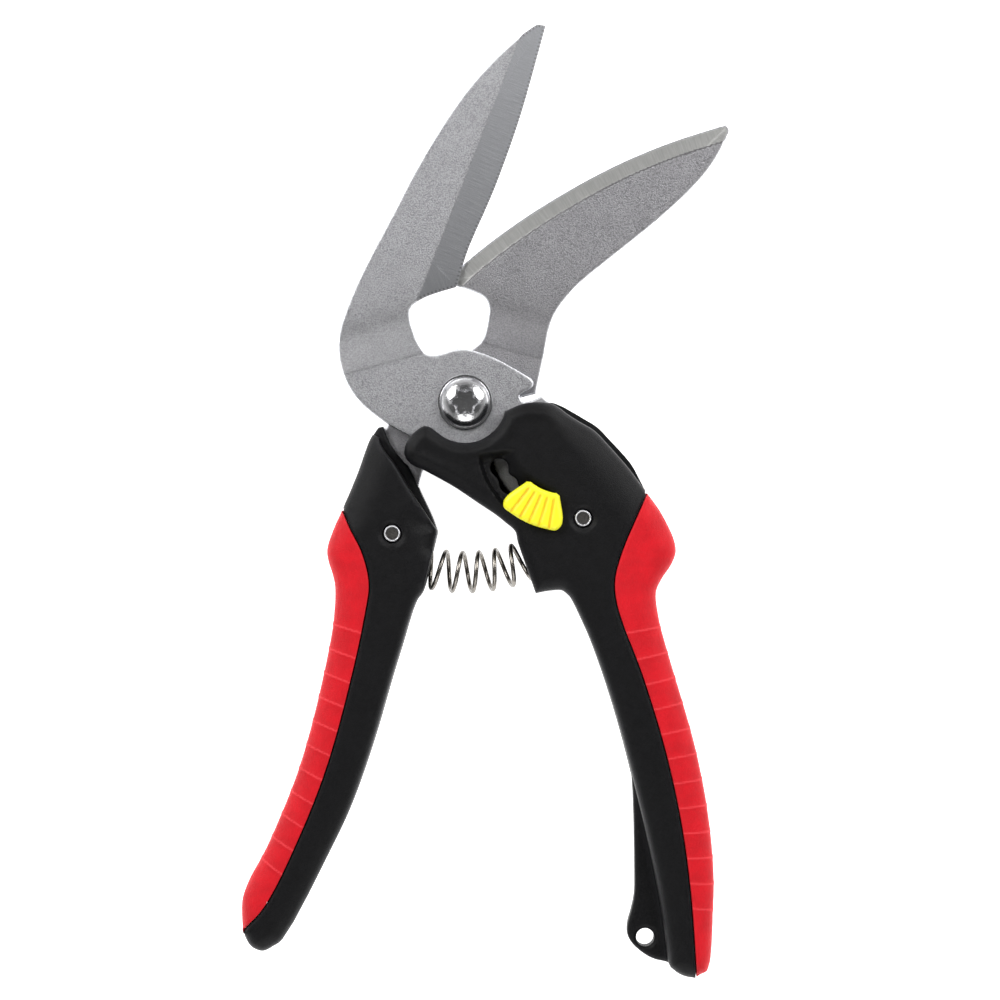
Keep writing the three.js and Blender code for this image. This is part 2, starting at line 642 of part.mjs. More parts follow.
// ---- Lock -----------------------------------------------------------------------------------
/** Steel plate swinging on the lock pivot, with eyes for the stem and the latch pin. */
function lockLever() {
  return prism(leverOutline(0), lockPlateBottom, lockPlateTop)
    .subtract(disc(lockPivot, lockPinRadius + gap, 0, handleThickness))
    .subtract(disc(lockPoint(stemReach, stemAngle), stemRadius + gap, 0, handleThickness))
    .subtract(disc(lockPoint(latchReach, latchAngle), latchPinRadius + gap, 0, handleThickness));
}

function lockPivotPin() {
  const headBottom = lockPlateTop + gap;
  const footTop = upperPlateBottom - gap;
  return turned([[0, footTop - 1.2], [lockPinHeadRadius, footTop - 1.2],
    [lockPinHeadRadius, footTop], [lockPinRadius, footTop], [lockPinRadius, headBottom],
    [lockPinHeadRadius, headBottom], [lockPinHeadRadius, headBottom + lockPinHeadHeight],
    [0, headBottom + lockPinHeadHeight]], lockPivot, 24);
}

function latchPin() {
  return disc(lockPoint(latchReach, latchAngle), latchPinRadius, lowerPlateBottom + gap,
    lockPlateTop, 20);
}

function lockStem() {
  return disc(lockPoint(stemReach, stemAngle), stemRadius, lockPlateBottom,
    handleThickness + gap + buttonThickness / 2, 20);
}

/** Ribbed fan above the casing, with a narrow foot that slides in the recess. */
function lockButton() {
  const bottom = handleThickness + gap;
  const turn = (angle) => -Math.PI / 2 - angle;
  const [from, to] = buttonSpan;
  const fan = join(
    arc(lockPivot, buttonOuter, turn(from + 4 * degree), turn(to - 4 * degree), 6),
    [lockPoint(buttonOuter - 1.4, to - 0.5 * degree)],
    arc(lockPivot, buttonInner, turn(to - 4 * degree), turn(from + 4 * degree), 6),
    [lockPoint(buttonOuter - 1.6, from)]);
  const footHalf = 10 * degree;
  const foot = lockSlot(stemReach, buttonFootHalfWidth, stemAngle - footHalf / 2, stemAngle + footHalf / 2);
  const stemHole = disc(lockPoint(stemReach, stemAngle), stemRadius + gap, 0,
    bottom + buttonThickness / 2 + gap);
  return rounded(fan, bottom, bottom + buttonThickness, 0.6)
    .add(prism(foot, recessFloor + gap, bottom + 0.7))
    .subtract(stemHole);
}

// ---- Spring ---------------------------------------------------------------------------------
/** Helix wound round an arc about the bolt, with one closed turn at each end. */
class ArcSpring extends THREE.Curve {
  getPoint(t, target = new THREE.Vector3()) {
    const turn = t * springTurns;
    const closedPitch = springWire * 1.1;
    const start = springFrom - springCupDepth / springAxisRadius;
    const arcLength = (springTo - springFrom) * springAxisRadius + 2 * springCupDepth - springWire;
    const closedTurns = Math.min(turn, 1) + Math.max(0, turn - (springTurns - 1));
    const openPitch = (arcLength - 2 * closedPitch) / (springTurns - 2);
    const run = springWire / 2 + closedTurns * closedPitch + (turn - closedTurns) * openPitch;
    const angle = start + run / springAxisRadius;
    const coil = springRadius - springWire / 2;
    const radius = springAxisRadius + coil * Math.cos(2 * Math.PI * turn);
    return target.set(radius * Math.sin(angle), -radius * Math.cos(angle),
      splitHeight + coil * Math.sin(2 * Math.PI * turn));
  }
}

function returnSpring() {
  const section = shapeOf(arc([0, 0], springWire / 2, 0, 300 * degree, 5));
  return solid(new THREE.ExtrudeGeometry(section,
    { extrudePath: new ArcSpring(), steps: Math.round(springTurns * 12), bevelEnabled: false }));
}

// ---- Assembly -------------------------------------------------------------------------------
const fixedHalf = new THREE.Group();
fixedHalf.add(
  steel('upper_blade', upperBlade()),
  blackPlastic('right_front_casing', rightFrontCasing()),
  blackPlastic('right_back_casing', rightBackCasing()),
  redRubber('right_grip', gripOf(rightHandleOutline(0), rightGripLine, rightOuterEdge, 1)),
  brightSteel('right_rivet', handleRivet(rightRivet)),
  steel('right_rivet_washer', rivetWasher(rightRivet)),
  brightSteel('pivot_bolt', pivotBolt()),
  steel('pivot_wave_washer', waveWasher()),
  steel('pivot_nut', pivotNut()),
  steel('lock_pivot_pin', lockPivotPin()));

const lock = new THREE.Group();
lock.add(
  steel('lock_lever', lockLever()),
  steel('latch_pin', latchPin()),
  steel('lock_stem', lockStem()),
  yellowPlastic('lock_button', lockButton()));

const movingHalf = new THREE.Group();
movingHalf.add(
  steel('lower_blade', lowerBlade()),
  blackPlastic('left_front_casing', leftFrontCasing()),
  blackPlastic('left_back_casing', leftBackCasing()),
  redRubber('left_grip', gripOf(leftHandleOutline(), leftGripLine, leftOuterEdge, -1)),
  brightSteel('left_rivet', handleRivet(leftRivet)),
  steel('left_rivet_washer', rivetWasher(leftRivet)));

const group = new THREE.Group();
group.add(fixedHalf, lock, movingHalf, brightSteel('return_spring', returnSpring()));

export default group;
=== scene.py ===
"""Looks of the bypass pruning shears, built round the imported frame.

Every new piece starts from a flat section of its CAD part, so its outline, its holes and its heights
come from the frame. Lengths in this file are millimetres until a mesh is written, which is in metres.
"""
import json
import logging
import math
from collections.abc import Callable, Sequence
from dataclasses import dataclass, field
from enum import Enum

import bpy
import numpy as np
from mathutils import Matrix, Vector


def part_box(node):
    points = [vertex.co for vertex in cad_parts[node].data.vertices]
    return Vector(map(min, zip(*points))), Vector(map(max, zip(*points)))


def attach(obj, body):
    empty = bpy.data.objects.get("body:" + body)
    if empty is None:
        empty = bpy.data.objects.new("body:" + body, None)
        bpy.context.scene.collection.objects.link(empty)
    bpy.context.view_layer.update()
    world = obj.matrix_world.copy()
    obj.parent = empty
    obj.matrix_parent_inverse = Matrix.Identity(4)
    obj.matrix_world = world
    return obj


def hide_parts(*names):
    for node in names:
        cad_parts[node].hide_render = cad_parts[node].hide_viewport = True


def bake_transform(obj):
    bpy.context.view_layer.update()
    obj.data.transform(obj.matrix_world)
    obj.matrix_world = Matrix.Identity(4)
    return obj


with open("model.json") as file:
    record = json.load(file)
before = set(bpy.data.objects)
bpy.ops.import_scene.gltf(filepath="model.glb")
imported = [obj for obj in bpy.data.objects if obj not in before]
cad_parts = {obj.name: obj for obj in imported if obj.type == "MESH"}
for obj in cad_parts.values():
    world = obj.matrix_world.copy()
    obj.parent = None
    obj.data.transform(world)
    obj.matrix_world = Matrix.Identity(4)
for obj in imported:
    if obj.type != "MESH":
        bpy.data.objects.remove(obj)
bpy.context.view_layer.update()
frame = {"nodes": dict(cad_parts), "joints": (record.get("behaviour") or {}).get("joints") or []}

METRE = 1000.0
SPRING_ARC = 36.0                      # radius about the bolt of the coil spring's axis
SAME_PLACE = 1e-6
Points = np.ndarray
Height = Callable[[Points], np.ndarray]
log = logging.getLogger("shears")


class Body(Enum):
    """The three bodies that the joints connect."""
    RIGHT = "right_half"
    LEFT = "left_half"
    LOCK = "lock"


class Slot(Enum):
    """Material slots of the record."""
    BLADE = "blade_steel"
    BRIGHT = "bright_steel"
    POLISHED = "polished_steel"
    PLAIN = "plain_steel"
    BLACK = "black_plastic"
    RED = "red_rubber"
    YELLOW = "yellow_plastic"


# ---- Small formulas -------------------------------------------------------------------------
def smoothstep(value: np.ndarray, low: float, high: float) -> np.ndarray:
    """Rises from 0 at low to 1 at high with flat ends."""
    share = np.clip((value - low) / (high - low), 0, 1)
    return share * share * (3 - 2 * share)


def bump(value: np.ndarray, centre: float, width: float) -> np.ndarray:
    """Bell curve of height 1 at centre."""
    return np.exp(-((value - centre) / width) ** 2)


def crowned(distance: np.ndarray, width: np.ndarray | float, drop: np.ndarray | float) -> np.ndarray:
    """How far a rounded-over edge lies under the face: a quarter of an ellipse.

    Args:
        distance: distance inwards from the edge.
        width: how far the rounding reaches inwards.
        drop: how far it falls at the very edge.

    Returns:
        The fall at each distance, 0 beyond width.
    """
    share = 1 - np.clip(distance / width, 0, 1)
    return drop * (1 - np.sqrt(np.clip(1 - share ** 2, 0, 1)))


def soft_ramp(value: np.ndarray, radius: float) -> np.ndarray:
    """Zero before 0 and the value itself after it, with the corner eased over radius."""
    return (value + np.sqrt(value ** 2 + radius ** 2)) / 2


def box_mm(node: str) -> tuple[np.ndarray, np.ndarray]:
    """Lowest and highest corner of a CAD node, in millimetres."""
    low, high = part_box(node)
    return np.array(low) * METRE, np.array(high) * METRE


def centre_mm(node: str) -> np.ndarray:
    """Middle of a CAD node's box, in millimetres."""
    low, high = box_mm(node)
    return (low + high) / 2


def joint_centre(name: str) -> np.ndarray:
    """Place of a joint in the plane of the blades, in millimetres."""
    found = next(joint for joint in frame["joints"] if joint["name"] == name)
    return np.array(found["pos_m"][:2]) * METRE


# ---- Outlines cut from the frame ------------------------------------------------------------
@dataclass(frozen=True)
class Outline:
    """A set of straight edges in the plane; `along` is the running length at each edge's start."""
    starts: Points
    ends: Points
    along: np.ndarray
    chunk: int = 150_000

    @staticmethod
    def closed(loops: Sequence[Points]) -> "Outline":
        """Joins each loop's points in order and the last one to the first.

        Args:
            loops: loops of x, y pairs.

        Returns:
            The outline of all loops.
        """
        starts = np.concatenate(loops)
        ends = np.concatenate([np.roll(loop, -1, axis=0) for loop in loops])
        steps = np.linalg.norm(ends - starts, axis=1)
        return Outline(starts, ends, np.concatenate([[0], np.cumsum(steps)[:-1]]))

    def only(self, keep: np.ndarray) -> "Outline":
        """The edges where keep is true."""
        return Outline(self.starts[keep], self.ends[keep], self.along[keep])

    def plus(self, other: "Outline") -> "Outline":
        """Both sets of edges together.

        Args:
            other: the edges to add.

        Returns:
            A new outline.
        """
        return Outline(np.concatenate([self.starts, other.starts]),
                       np.concatenate([self.ends, other.ends]),
                       np.concatenate([self.along, other.along]))

    def unbroken(self) -> "Outline":
        """The same edges from one open end to the other, with the running length counted afresh.

        Returns:
            The edges in their new order, the widest gap before the first one.
        """
        gaps = np.linalg.norm(self.ends - np.roll(self.starts, -1, axis=0), axis=1)
        first = int(gaps.argmax()) + 1
        starts, ends = np.roll(self.starts, -first, axis=0), np.roll(self.ends, -first, axis=0)
        steps = np.linalg.norm(ends - starts, axis=1)
        return Outline(starts, ends, np.concatenate([[0], np.cumsum(steps)[:-1]]))

    def middles(self) -> Points:
        """Middle of each edge."""
        return (self.starts + self.ends) / 2

    def nearest(self, points: Points) -> tuple[np.ndarray, Points, np.ndarray]:
        """Closest place on the edges: each point is dropped on every edge and the nearest foot kept.

        Args:
            points: an array of x, y pairs.

        Returns:
            The distance, the closest place and the running length there.
        """
        run = self.ends - self.starts
        squared = np.maximum((run ** 2).sum(1), 1e-12)
        found = []
        for part in np.array_split(points, max(1, len(points) * len(run) // self.chunk)):
            dx = part[:, :1] - self.starts[:, 0]
            dy = part[:, 1:2] - self.starts[:, 1]
            share = np.clip((dx * run[:, 0] + dy * run[:, 1]) / squared, 0, 1)
            gaps = (dx - share * run[:, 0]) ** 2 + (dy - share * run[:, 1]) ** 2
            best = gaps.argmin(1)
            rows = np.arange(len(part))
            foot = self.starts[best] + run[best] * share[rows, best][:, None]
            length = self.along[best] + share[rows, best] * np.sqrt(squared[best])
            found.append((np.sqrt(gaps[rows, best]), foot, length))
        return tuple(np.concatenate(column) for column in zip(*found))

    def distance(self, points: Points) -> np.ndarray:
        """Distance from each point to the closest edge."""
        return self.nearest(points)[0]

    def corners(self, turn: float = 60.0) -> Points:
        """Points where one edge meets the next at a sharp turn.

        Args:
            turn: degrees above which a turn is sharp.

        Returns:
            Those points.
        """
        before = np.arange(-1, len(self.starts) - 1)
        broken = np.linalg.norm(self.ends[before] - self.starts, axis=1) > SAME_PLACE
        apart = np.linalg.norm(self.starts[broken][:, None] - self.ends[None], axis=2)
        before[broken] = apart.argmin(1)
        ahead, behind = self.ends - self.starts, (self.ends - self.starts)[before]
        cross = behind[:, 0] * ahead[:, 1] - behind[:, 1] * ahead[:, 0]
        angle = np.abs(np.degrees(np.arctan2(cross, (behind * ahead).sum(1))))
        return self.starts[angle > turn]

    def covers(self, points: Points) -> np.ndarray:
        """Which points lie inside: a line to the right crosses the edges an odd number of times.

        Args:
            points: an array of x, y pairs.

        Returns:
            True for each point inside.
        """
        (ax, ay), (bx, by) = self.starts.T, self.ends.T
        slope = (bx - ax) / np.where(np.abs(by - ay) < 1e-12, 1e-12, by - ay)
        found = []
        for part in np.array_split(points, max(1, len(points) * len(ax) // self.chunk)):
            px, py = part[:, :1], part[:, 1:2]
            crossed = ((ay > py) != (by > py)) & (px < ax + (py - ay) * slope)
            found.append(crossed.sum(1) % 2 == 1)
        return np.concatenate(found)


def mesh_arrays(node: str) -> tuple[np.ndarray, np.ndarray]:
    """Reads the mesh of a CAD node.

    Args:
        node: name of the CAD node.

    Returns:
        Vertices in millimetres and triangles.
    """
    mesh = frame["nodes"][node].data
    mesh.calc_loop_triangles()
    places = np.empty(len(mesh.vertices) * 3)
    mesh.vertices.foreach_get("co", places)
    corners = np.empty(len(mesh.loop_triangles) * 3, dtype=np.int32)
    mesh.loop_triangles.foreach_get("vertices", corners)
    return places.reshape(-1, 3) * METRE, corners.reshape(-1, 3)


def cut(node: str, level: float | Height) -> list[Points]:
    """Closed loops where a level surface cuts a CAD node.

    Each triangle with corners on both sides gives one edge, from where it comes up through the level
    to where it goes down; edges whose ends meet make a loop.

    Args:
        node: name of the CAD node.
        level: a height, or a function giving the height over each x, y.

    Returns:
        One array of points for each loop.
    """
    places, triangles = mesh_arrays(node)
    wanted = level(places[:, :2]) if callable(level) else level
    over = places[:, 2] - wanted + 1e-7
    a = triangles.ravel()
    b = np.roll(triangles, -1, axis=1).ravel()
    up = ((over[a] <= 0) & (over[b] > 0)).reshape(-1, 3)
    down = ((over[a] > 0) & (over[b] <= 0)).reshape(-1, 3)
    share = over[a] / np.where(over[a] == over[b], 1, over[a] - over[b])
    crossing = (places[a, :2] + share[:, None] * (places[b, :2] - places[a, :2])).reshape(-1, 3, 2)
    starts, ends = crossing[up], crossing[down]
    long = np.linalg.norm(ends - starts, axis=1) > 1e-4
    return chained(starts[long], ends[long])


def chained(starts: Points, ends: Points) -> list[Points]:
    """Orders loose edges into loops, each edge followed by the one that starts nearest its end.

    Args:
        starts: where each edge starts.
        ends: where each edge ends.

    Returns:
        One array of points for each loop.
    """
    gaps = ((ends[:, None] - starts[None]) ** 2).sum(2)
    following = gaps.argmin(1)
    left, loops = set(range(len(starts))), []
    while left:
        index = min(left)
        loop = []
        while index in left:
            left.remove(index)
            loop.append(index)
            index = int(following[index])
        if len(loop) > 2:
            loops.append(starts[loop])
    return loops


def smoothed(loop: Points, corner: float = 38.0, pieces: int = 4) -> Points:
    """A smooth curve through a loop's points that keeps its sharp corners.

    Points closer than 0.04 mm and points on a straight line are dropped first. Each edge is then
    divided along a centripetal Catmull-Rom curve, which is broken where the loop turns sharply.

    Args:
        loop: points in order.
        corner: turn in degrees above which a corner stays sharp.
        pieces: divisions of each edge.

    Returns:
        The points of the finer loop.
    """
    loop = loop[np.linalg.norm(loop - np.roll(loop, 1, axis=0), axis=1) > 0.04]
    for _ in range(2):
        loop = loop[turns(loop) > 0.35]
    sharp = turns(loop) > corner
    p1, p2 = loop, np.roll(loop, -1, axis=0)
    p0 = np.where(sharp[:, None], 2 * p1 - p2, np.roll(loop, 1, axis=0))
    p3 = np.where(np.roll(sharp, -1)[:, None], 2 * p2 - p1, np.roll(loop, -2, axis=0))
    k1 = np.sqrt(np.linalg.norm(p1 - p0, axis=1))[:, None]
    k2 = k1 + np.sqrt(np.linalg.norm(p2 - p1, axis=1))[:, None]
    k3 = k2 + np.sqrt(np.linalg.norm(p3 - p2, axis=1))[:, None]
    rows = []
    for step in range(pieces):
        t = k1 + (k2 - k1) * step / pieces
        a1 = p0 + (p1 - p0) * t / k1
        a2 = p1 + (p2 - p1) * (t - k1) / (k2 - k1)
        a3 = p2 + (p3 - p2) * (t - k2) / (k3 - k2)
        b1 = a1 + (a2 - a1) * t / k2
        b2 = a2 + (a3 - a2) * (t - k1) / (k3 - k1)
        rows.append(b1 + (b2 - b1) * (t - k1) / (k2 - k1))
    return np.stack(rows, axis=1).reshape(-1, 2)


def turns(loop: Points) -> np.ndarray:
    """Turn of a loop at each of its points, in degrees.

    Args:
        loop: an array of x, y pairs.

    Returns:
        The turn at each point.
    """
    before = loop - np.roll(loop, 1, axis=0)
    after = np.roll(loop, -1, axis=0) - loop
    cross = before[:, 0] * after[:, 1] - before[:, 1] * after[:, 0]
    return np.abs(np.degrees(np.arctan2(cross, (before * after).sum(1))))


def widest(loops: Sequence[Points]) -> Points:
    """The loop with the longest diagonal."""
    return max(loops, key=lambda loop: float(np.linalg.norm(np.ptp(loop, axis=0))))


def section(node: str, level: float | Height, corner: float = 38.0) -> Outline:
    """Smoothed outline of a CAD node at a level, holes included."""
    return Outline.closed([smoothed(loop, corner) for loop in cut(node, level)])


def split_near(outline: Outline, other: Outline, reach: float = 0.7) -> tuple[Outline, Outline]:
    """Divides an outline into the edges away from another outline and those close to it."""
    close = other.distance(outline.middles()) < reach
    return outline.only(~close), outline.only(close)


# ---- Meshes ---------------------------------------------------------------------------------
@dataclass(frozen=True)
class Side:
    """A stretch of a piece's edge and how far inside it the flat grid stops.

    Towards a narrow corner with the edges `beside` it, the inset shrinks with the width left.
    """
    edges: Outline
    inset: float
    beside: Outline | None = None
    share: float = 0.3

    def gap(self, points: Points) -> tuple[np.ndarray, np.ndarray]:
        """How far points are from this side.

        Args:
            points: an array of x, y pairs.

        Returns:
            Distance to the edges and the inset that holds there.
        """
        reach = self.edges.distance(points)
        if self.beside is None:
            return reach, np.full(len(points), self.inset)
        return reach, np.minimum(self.inset, self.share * (reach + self.beside.distance(points)))


@dataclass
class Lamina:
    """Triangles that fill a flat region; `rim` holds its directed edges on the boundary."""
    points: Points
    triangles: np.ndarray
    rim: np.ndarray


def lamina(inside: Height, low: Points, high: Points, cell: float) -> Lamina:
    """Fills the region where a function is positive with a square grid of cut triangles.

    Grid points closer to the boundary than 0.3 of a cell are moved on to it along the function's
    slope; the triangles that still cross it are cut where the function, taken as straight along
    each side, is zero.

    Args:
        inside: function that is positive inside and grows by 1 for each millimetre.
        low: lowest corner.
        high: highest corner.
        cell: width of the grid's squares.

    Returns:
        The filled region.
    """
    across = np.arange(low[0] - 2 * cell, high[0] + 3 * cell, cell)
    up = np.arange(low[1] - 2 * cell, high[1] + 3 * cell, cell)
    x, y = np.meshgrid(across, up)
    points = np.stack([x.ravel(), y.ravel()], axis=1)
    value = inside(points).reshape(x.shape)
    slope_y, slope_x = np.gradient(value, cell)
    slope = np.stack([slope_x.ravel(), slope_y.ravel()], axis=1)
    value = value.ravel()
    near = (np.abs(value) < 0.3 * cell) & ((slope ** 2).sum(1) > 0.3)
    points[near] -= (value / np.maximum((slope ** 2).sum(1), 0.3))[near, None] * slope[near]
    value = np.where(near, 0, value)
    index = np.arange(x.size).reshape(x.shape)
    a, b, c, d = index[:-1, :-1], index[:-1, 1:], index[1:, 1:], index[1:, :-1]
    even = ((np.add.outer(np.arange(a.shape[0]), np.arange(a.shape[1])) % 2) == 0)[..., None]
    first = np.where(even, np.stack([a, b, c], -1), np.stack([a, b, d], -1)).reshape(-1, 3)
    second = np.where(even, np.stack([a, c, d], -1), np.stack([b, c, d], -1)).reshape(-1, 3)
    triangles = np.concatenate([first, second])
    return cut_triangles(points, np.sign(value).astype(int), value, triangles)


def turned_to(triangles: np.ndarray, first: np.ndarray) -> np.ndarray:
    """Triangles turned so that the corner numbered by first comes first."""
    order = (first[:, None] + np.arange(3)) % 3
    return np.take_along_axis(triangles, order, axis=1)


def cut_triangles(points: Points, sign: np.ndarray, value: np.ndarray,
                  triangles: np.ndarray) -> Lamina:
    """Keeps the positive part of each triangle and numbers the result afresh.

    Args:
        points: the grid's points.
        sign: -1, 0 or 1 for each point.
        value: the function at each point.
        triangles: the grid's triangles.

    Returns:
        The kept region.
    """
    corner = sign[triangles]
    negatives, positives = (corner < 0).sum(1), (corner > 0).sum(1)
    whole = triangles[(negatives == 0) & (positives > 0)]
    mixed = (negatives > 0) & (positives > 0)
    sides = triangles[mixed][:, [[0, 1], [1, 2], [2, 0]]].reshape(-1, 2)
    sides = np.unique(np.sort(sides[sign[sides[:, 0]] * sign[sides[:, 1]] < 0], axis=1), axis=0)
    share = (value[sides[:, 0]] / (value[sides[:, 0]] - value[sides[:, 1]]))[:, None]
    extra = points[sides[:, 0]] * (1 - share) + points[sides[:, 1]] * share
    keys = sides[:, 0].astype(np.int64) * len(points) + sides[:, 1]

    def between(p: np.ndarray, q: np.ndarray) -> np.ndarray:
        """Number of the new point on the side from p to q."""
        key = np.minimum(p, q).astype(np.int64) * len(points) + np.maximum(p, q)
        return len(points) + np.searchsorted(keys, key)

    parts = [whole]
    one = triangles[mixed & (negatives == 1) & (positives == 2)]
    one = turned_to(one, (sign[one] < 0).argmax(1))
    m1, m2 = between(one[:, 0], one[:, 1]), between(one[:, 0], one[:, 2])
    parts += [np.stack([m1, one[:, 1], one[:, 2]], 1), np.stack([m1, one[:, 2], m2], 1)]
    two = triangles[mixed & (negatives == 2)]
    two = turned_to(two, (sign[two] > 0).argmax(1))
    parts.append(np.stack([two[:, 0], between(two[:, 0], two[:, 1]), between(two[:, 0], two[:, 2])], 1))
    thin = triangles[mixed & (negatives == 1) & (positives == 1)]
    thin = turned_to(thin, (sign[thin] < 0).argmax(1))
    after = thin[sign[thin[:, 1]] == 0]
    parts.append(np.stack([after[:, 1], after[:, 2], between(after[:, 0], after[:, 2])], 1))
    before = thin[sign[thin[:, 2]] == 0]
    parts.append(np.stack([between(before[:, 0], before[:, 1]), before[:, 1], before[:, 2]], 1))
    triangles = np.concatenate(parts)
    used, triangles = np.unique(triangles, return_inverse=True)
    triangles = triangles.reshape(-1, 3)
    points = np.concatenate([points, extra])[used]
    directed = triangles[:, [[0, 1], [1, 2], [2, 0]]].reshape(-1, 2)
    ordered = np.sort(directed, axis=1)
    _, place, count = np.unique(ordered, axis=0, return_index=True, return_counts=True)
    return Lamina(points, triangles, directed[place[count == 1]])


def strip(rim: np.ndarray, upper: np.ndarray, lower: np.ndarray) -> np.ndarray:
    """Four-sided faces between two copies of a rim; upper and lower map a point to its number."""
    return np.stack([upper[rim[:, 1]], upper[rim[:, 0]], lower[rim[:, 0]], lower[rim[:, 1]]], 1)


@dataclass
class Shell:
    """A closed piece between an upper and a lower height over a flat region.

    Near each side the flat grid stops short of the edge, and a few rings carry both surfaces the
    rest of the way along the shortest line to it, so a steep rounding gets even rows of faces.
    """
    region: Outline
    sides: list[Side]
    upper: Height
    lower: Height
    cell: float = 0.4
    sink: Height | None = None
    fractions: tuple[float, ...] = (0.34, 0.62, 0.82, 0.95, 1.0)
    corner_reach: float = 1.5          # a rim point this close to a sharp corner is drawn into it

    def inside(self, points: Points) -> np.ndarray:
        """Distance to the closest side less its inset.

        Args:
            points: an array of x, y pairs.

        Returns:
            The distance, negative outside the region.
        """
        reaches = [side.gap(points) for side in self.sides]
        gaps = np.min([reach - inset for reach, inset in reaches], axis=0)
        outside = -np.min([reach + inset for reach, inset in reaches], axis=0)
        return np.where(self.region.covers(points), gaps, outside)

    def feet(self, points: Points) -> Points:
        """Place on the piece's true edge that each rim point belongs to.

        Args:
            points: the rim of the flat grid.

        Returns:
            The closest place of the side that each point was held back from.
        """
        gaps = np.stack([np.subtract(*side.gap(points)) for side in self.sides])
        feet = np.stack([side.edges.nearest(points)[1] for side in self.sides])
        feet = feet[gaps.argmin(0), np.arange(len(points))]
        for corner in self.region.corners():
            away = np.linalg.norm(feet - corner, axis=1)
            if away.min() < self.corner_reach:
                feet[away.argmin()] = corner
        return feet

    def arrays(self) -> tuple[np.ndarray, np.ndarray, np.ndarray]:
        """Builds the closed piece: the flat grid twice, and rings out to the edge on both sides.

        Returns:
            Vertices, triangles and four-sided faces.
        """
        low = np.minimum(self.region.starts.min(0), self.region.ends.min(0))
        high = np.maximum(self.region.starts.max(0), self.region.ends.max(0))
        flat = lamina(self.inside, low, high, self.cell)
        count = len(flat.points)
        edge = np.unique(flat.rim)
        feet = self.feet(flat.points[edge])
        rows = [(flat.points, self.upper(flat.points)), (flat.points, self.lower(flat.points))]
        maps = []
        start = 2 * count
        for surface, offset in ((self.upper, 0), (self.lower, count)):
            chain = [np.arange(count) + offset]
            for share in self.fractions:
                ring = flat.points[edge] + (feet - flat.points[edge]) * share
                height = surface(ring)
                if self.sink is not None:
                    inward = flat.points[edge] - feet
                    inward /= np.maximum(np.linalg.norm(inward, axis=1), 1e-9)[:, None]
                    ring = ring + inward * (self.sink(ring) * share)[:, None]
                number = np.zeros(count, dtype=int)
                number[edge] = start + np.arange(len(edge))
                start += len(edge)
                rows.append((ring, height))
                chain.append(number)
            maps.append(chain)
        vertices = np.concatenate([np.column_stack([place, height]) for place, height in rows])
        top, bottom = maps
        quads = [strip(flat.rim, a, b) for a, b in zip(top[:-1], top[1:])]
        quads += [strip(flat.rim, b, a) for a, b in zip(bottom[:-1], bottom[1:])]
        quads.append(strip(flat.rim, top[-1], bottom[-1]))
        triangles = np.concatenate([flat.triangles, flat.triangles[:, ::-1] + count])
        return vertices, triangles, np.concatenate(quads)


@dataclass
class Web(Shell):
    """A thin web with one rounded side; `bounds` cuts it off straight where it is tucked in."""
    bounds: Height | None = None
    beside: float = 0.5

    def inside(self, points: Points) -> np.ndarray:
        """Distance to the free side less its inset, and to the straight cuts.

        Args:
            points: an array of x, y pairs.

        Returns:
            The smaller distance, negative outside the web.
        """
        free = self.sides[0]
        within = np.where(self.region.covers(points), 1, -1) * free.edges.distance(points) - free.inset
        return np.minimum(within, self.bounds(points))

    def feet(self, points: Points) -> Points:
        """Place on the free side for rim points beside it, and their own place for the others."""
        distance, foot, _ = self.sides[0].edges.nearest(points)
        return np.where((distance < self.beside)[:, None], foot, points)


def merged(parts: Sequence[tuple[np.ndarray, np.ndarray, np.ndarray]]) -> tuple:
    """Puts several closed pieces in one set of arrays.

    Args:
        parts: vertices, triangles and four-sided faces of each piece.

    Returns:
        The same three arrays for all of them.
    """
    shift = np.cumsum([0] + [len(part[0]) for part in parts])
    return (np.concatenate([part[0] for part in parts]),
            np.concatenate([part[1] + k for part, k in zip(parts, shift)]),
            np.concatenate([part[2] + k for part, k in zip(parts, shift)]))


def make_piece(name: str, vertices: np.ndarray, triangles: np.ndarray, quads: np.ndarray,
               crease: float = 35.0) -> bpy.types.Object:
    """Writes arrays into a new mesh object at the origin.

    Args:
        name: name of the object.
        vertices: places in millimetres.
        triangles: three-sided faces.
        quads: four-sided faces.
        crease: angle in degrees above which an edge is drawn sharp.

    Returns:
        The new object.
    """
    mesh = bpy.data.meshes.new(name)
    mesh.vertices.add(len(vertices))
    mesh.vertices.foreach_set("co", (vertices / METRE).ravel())
    corners = np.concatenate([triangles.ravel(), quads.ravel()]).astype(np.int32)
    sizes = np.concatenate([np.full(len(triangles), 3), np.full(len(quads), 4)]).astype(np.int32)
    mesh.loops.add(len(corners))
    mesh.loops.foreach_set("vertex_index", corners)
    mesh.polygons.add(len(sizes))
    firsts = np.concatenate([[0], np.cumsum(sizes)[:-1]]).astype(np.int32)
    mesh.polygons.foreach_set("loop_start", firsts)
    mesh.polygons.foreach_set("loop_total", sizes)
    mesh.update(calc_edges=True)
    mesh.validate()
    mesh.shade_smooth()
    mesh.set_sharp_from_angle(angle=math.radians(crease))
    piece = bpy.data.objects.new(name, mesh)
    bpy.context.scene.collection.objects.link(piece)
    return piece


def set_attribute(piece: bpy.types.Object, name: str, values: np.ndarray) -> None:
    """Stores one number for each vertex, for the material to read."""
    layer = piece.data.attributes.new(name, "FLOAT", "POINT")
    layer.data.foreach_set("value", values.astype(np.float32))


def vertex_places(piece: bpy.types.Object) -> np.ndarray:
    """Reads a piece's vertices.

    Args:
        piece: the object.

    Returns:
        x, y, z of each, in millimetres.
    """
    places = np.empty(len(piece.data.vertices) * 3)
    piece.data.vertices.foreach_get("co", places)
    return places.reshape(-1, 3) * METRE


def flat_points(piece: bpy.types.Object) -> Points:
    """x, y of each vertex of a piece, in millimetres."""
    return vertex_places(piece)[:, :2]


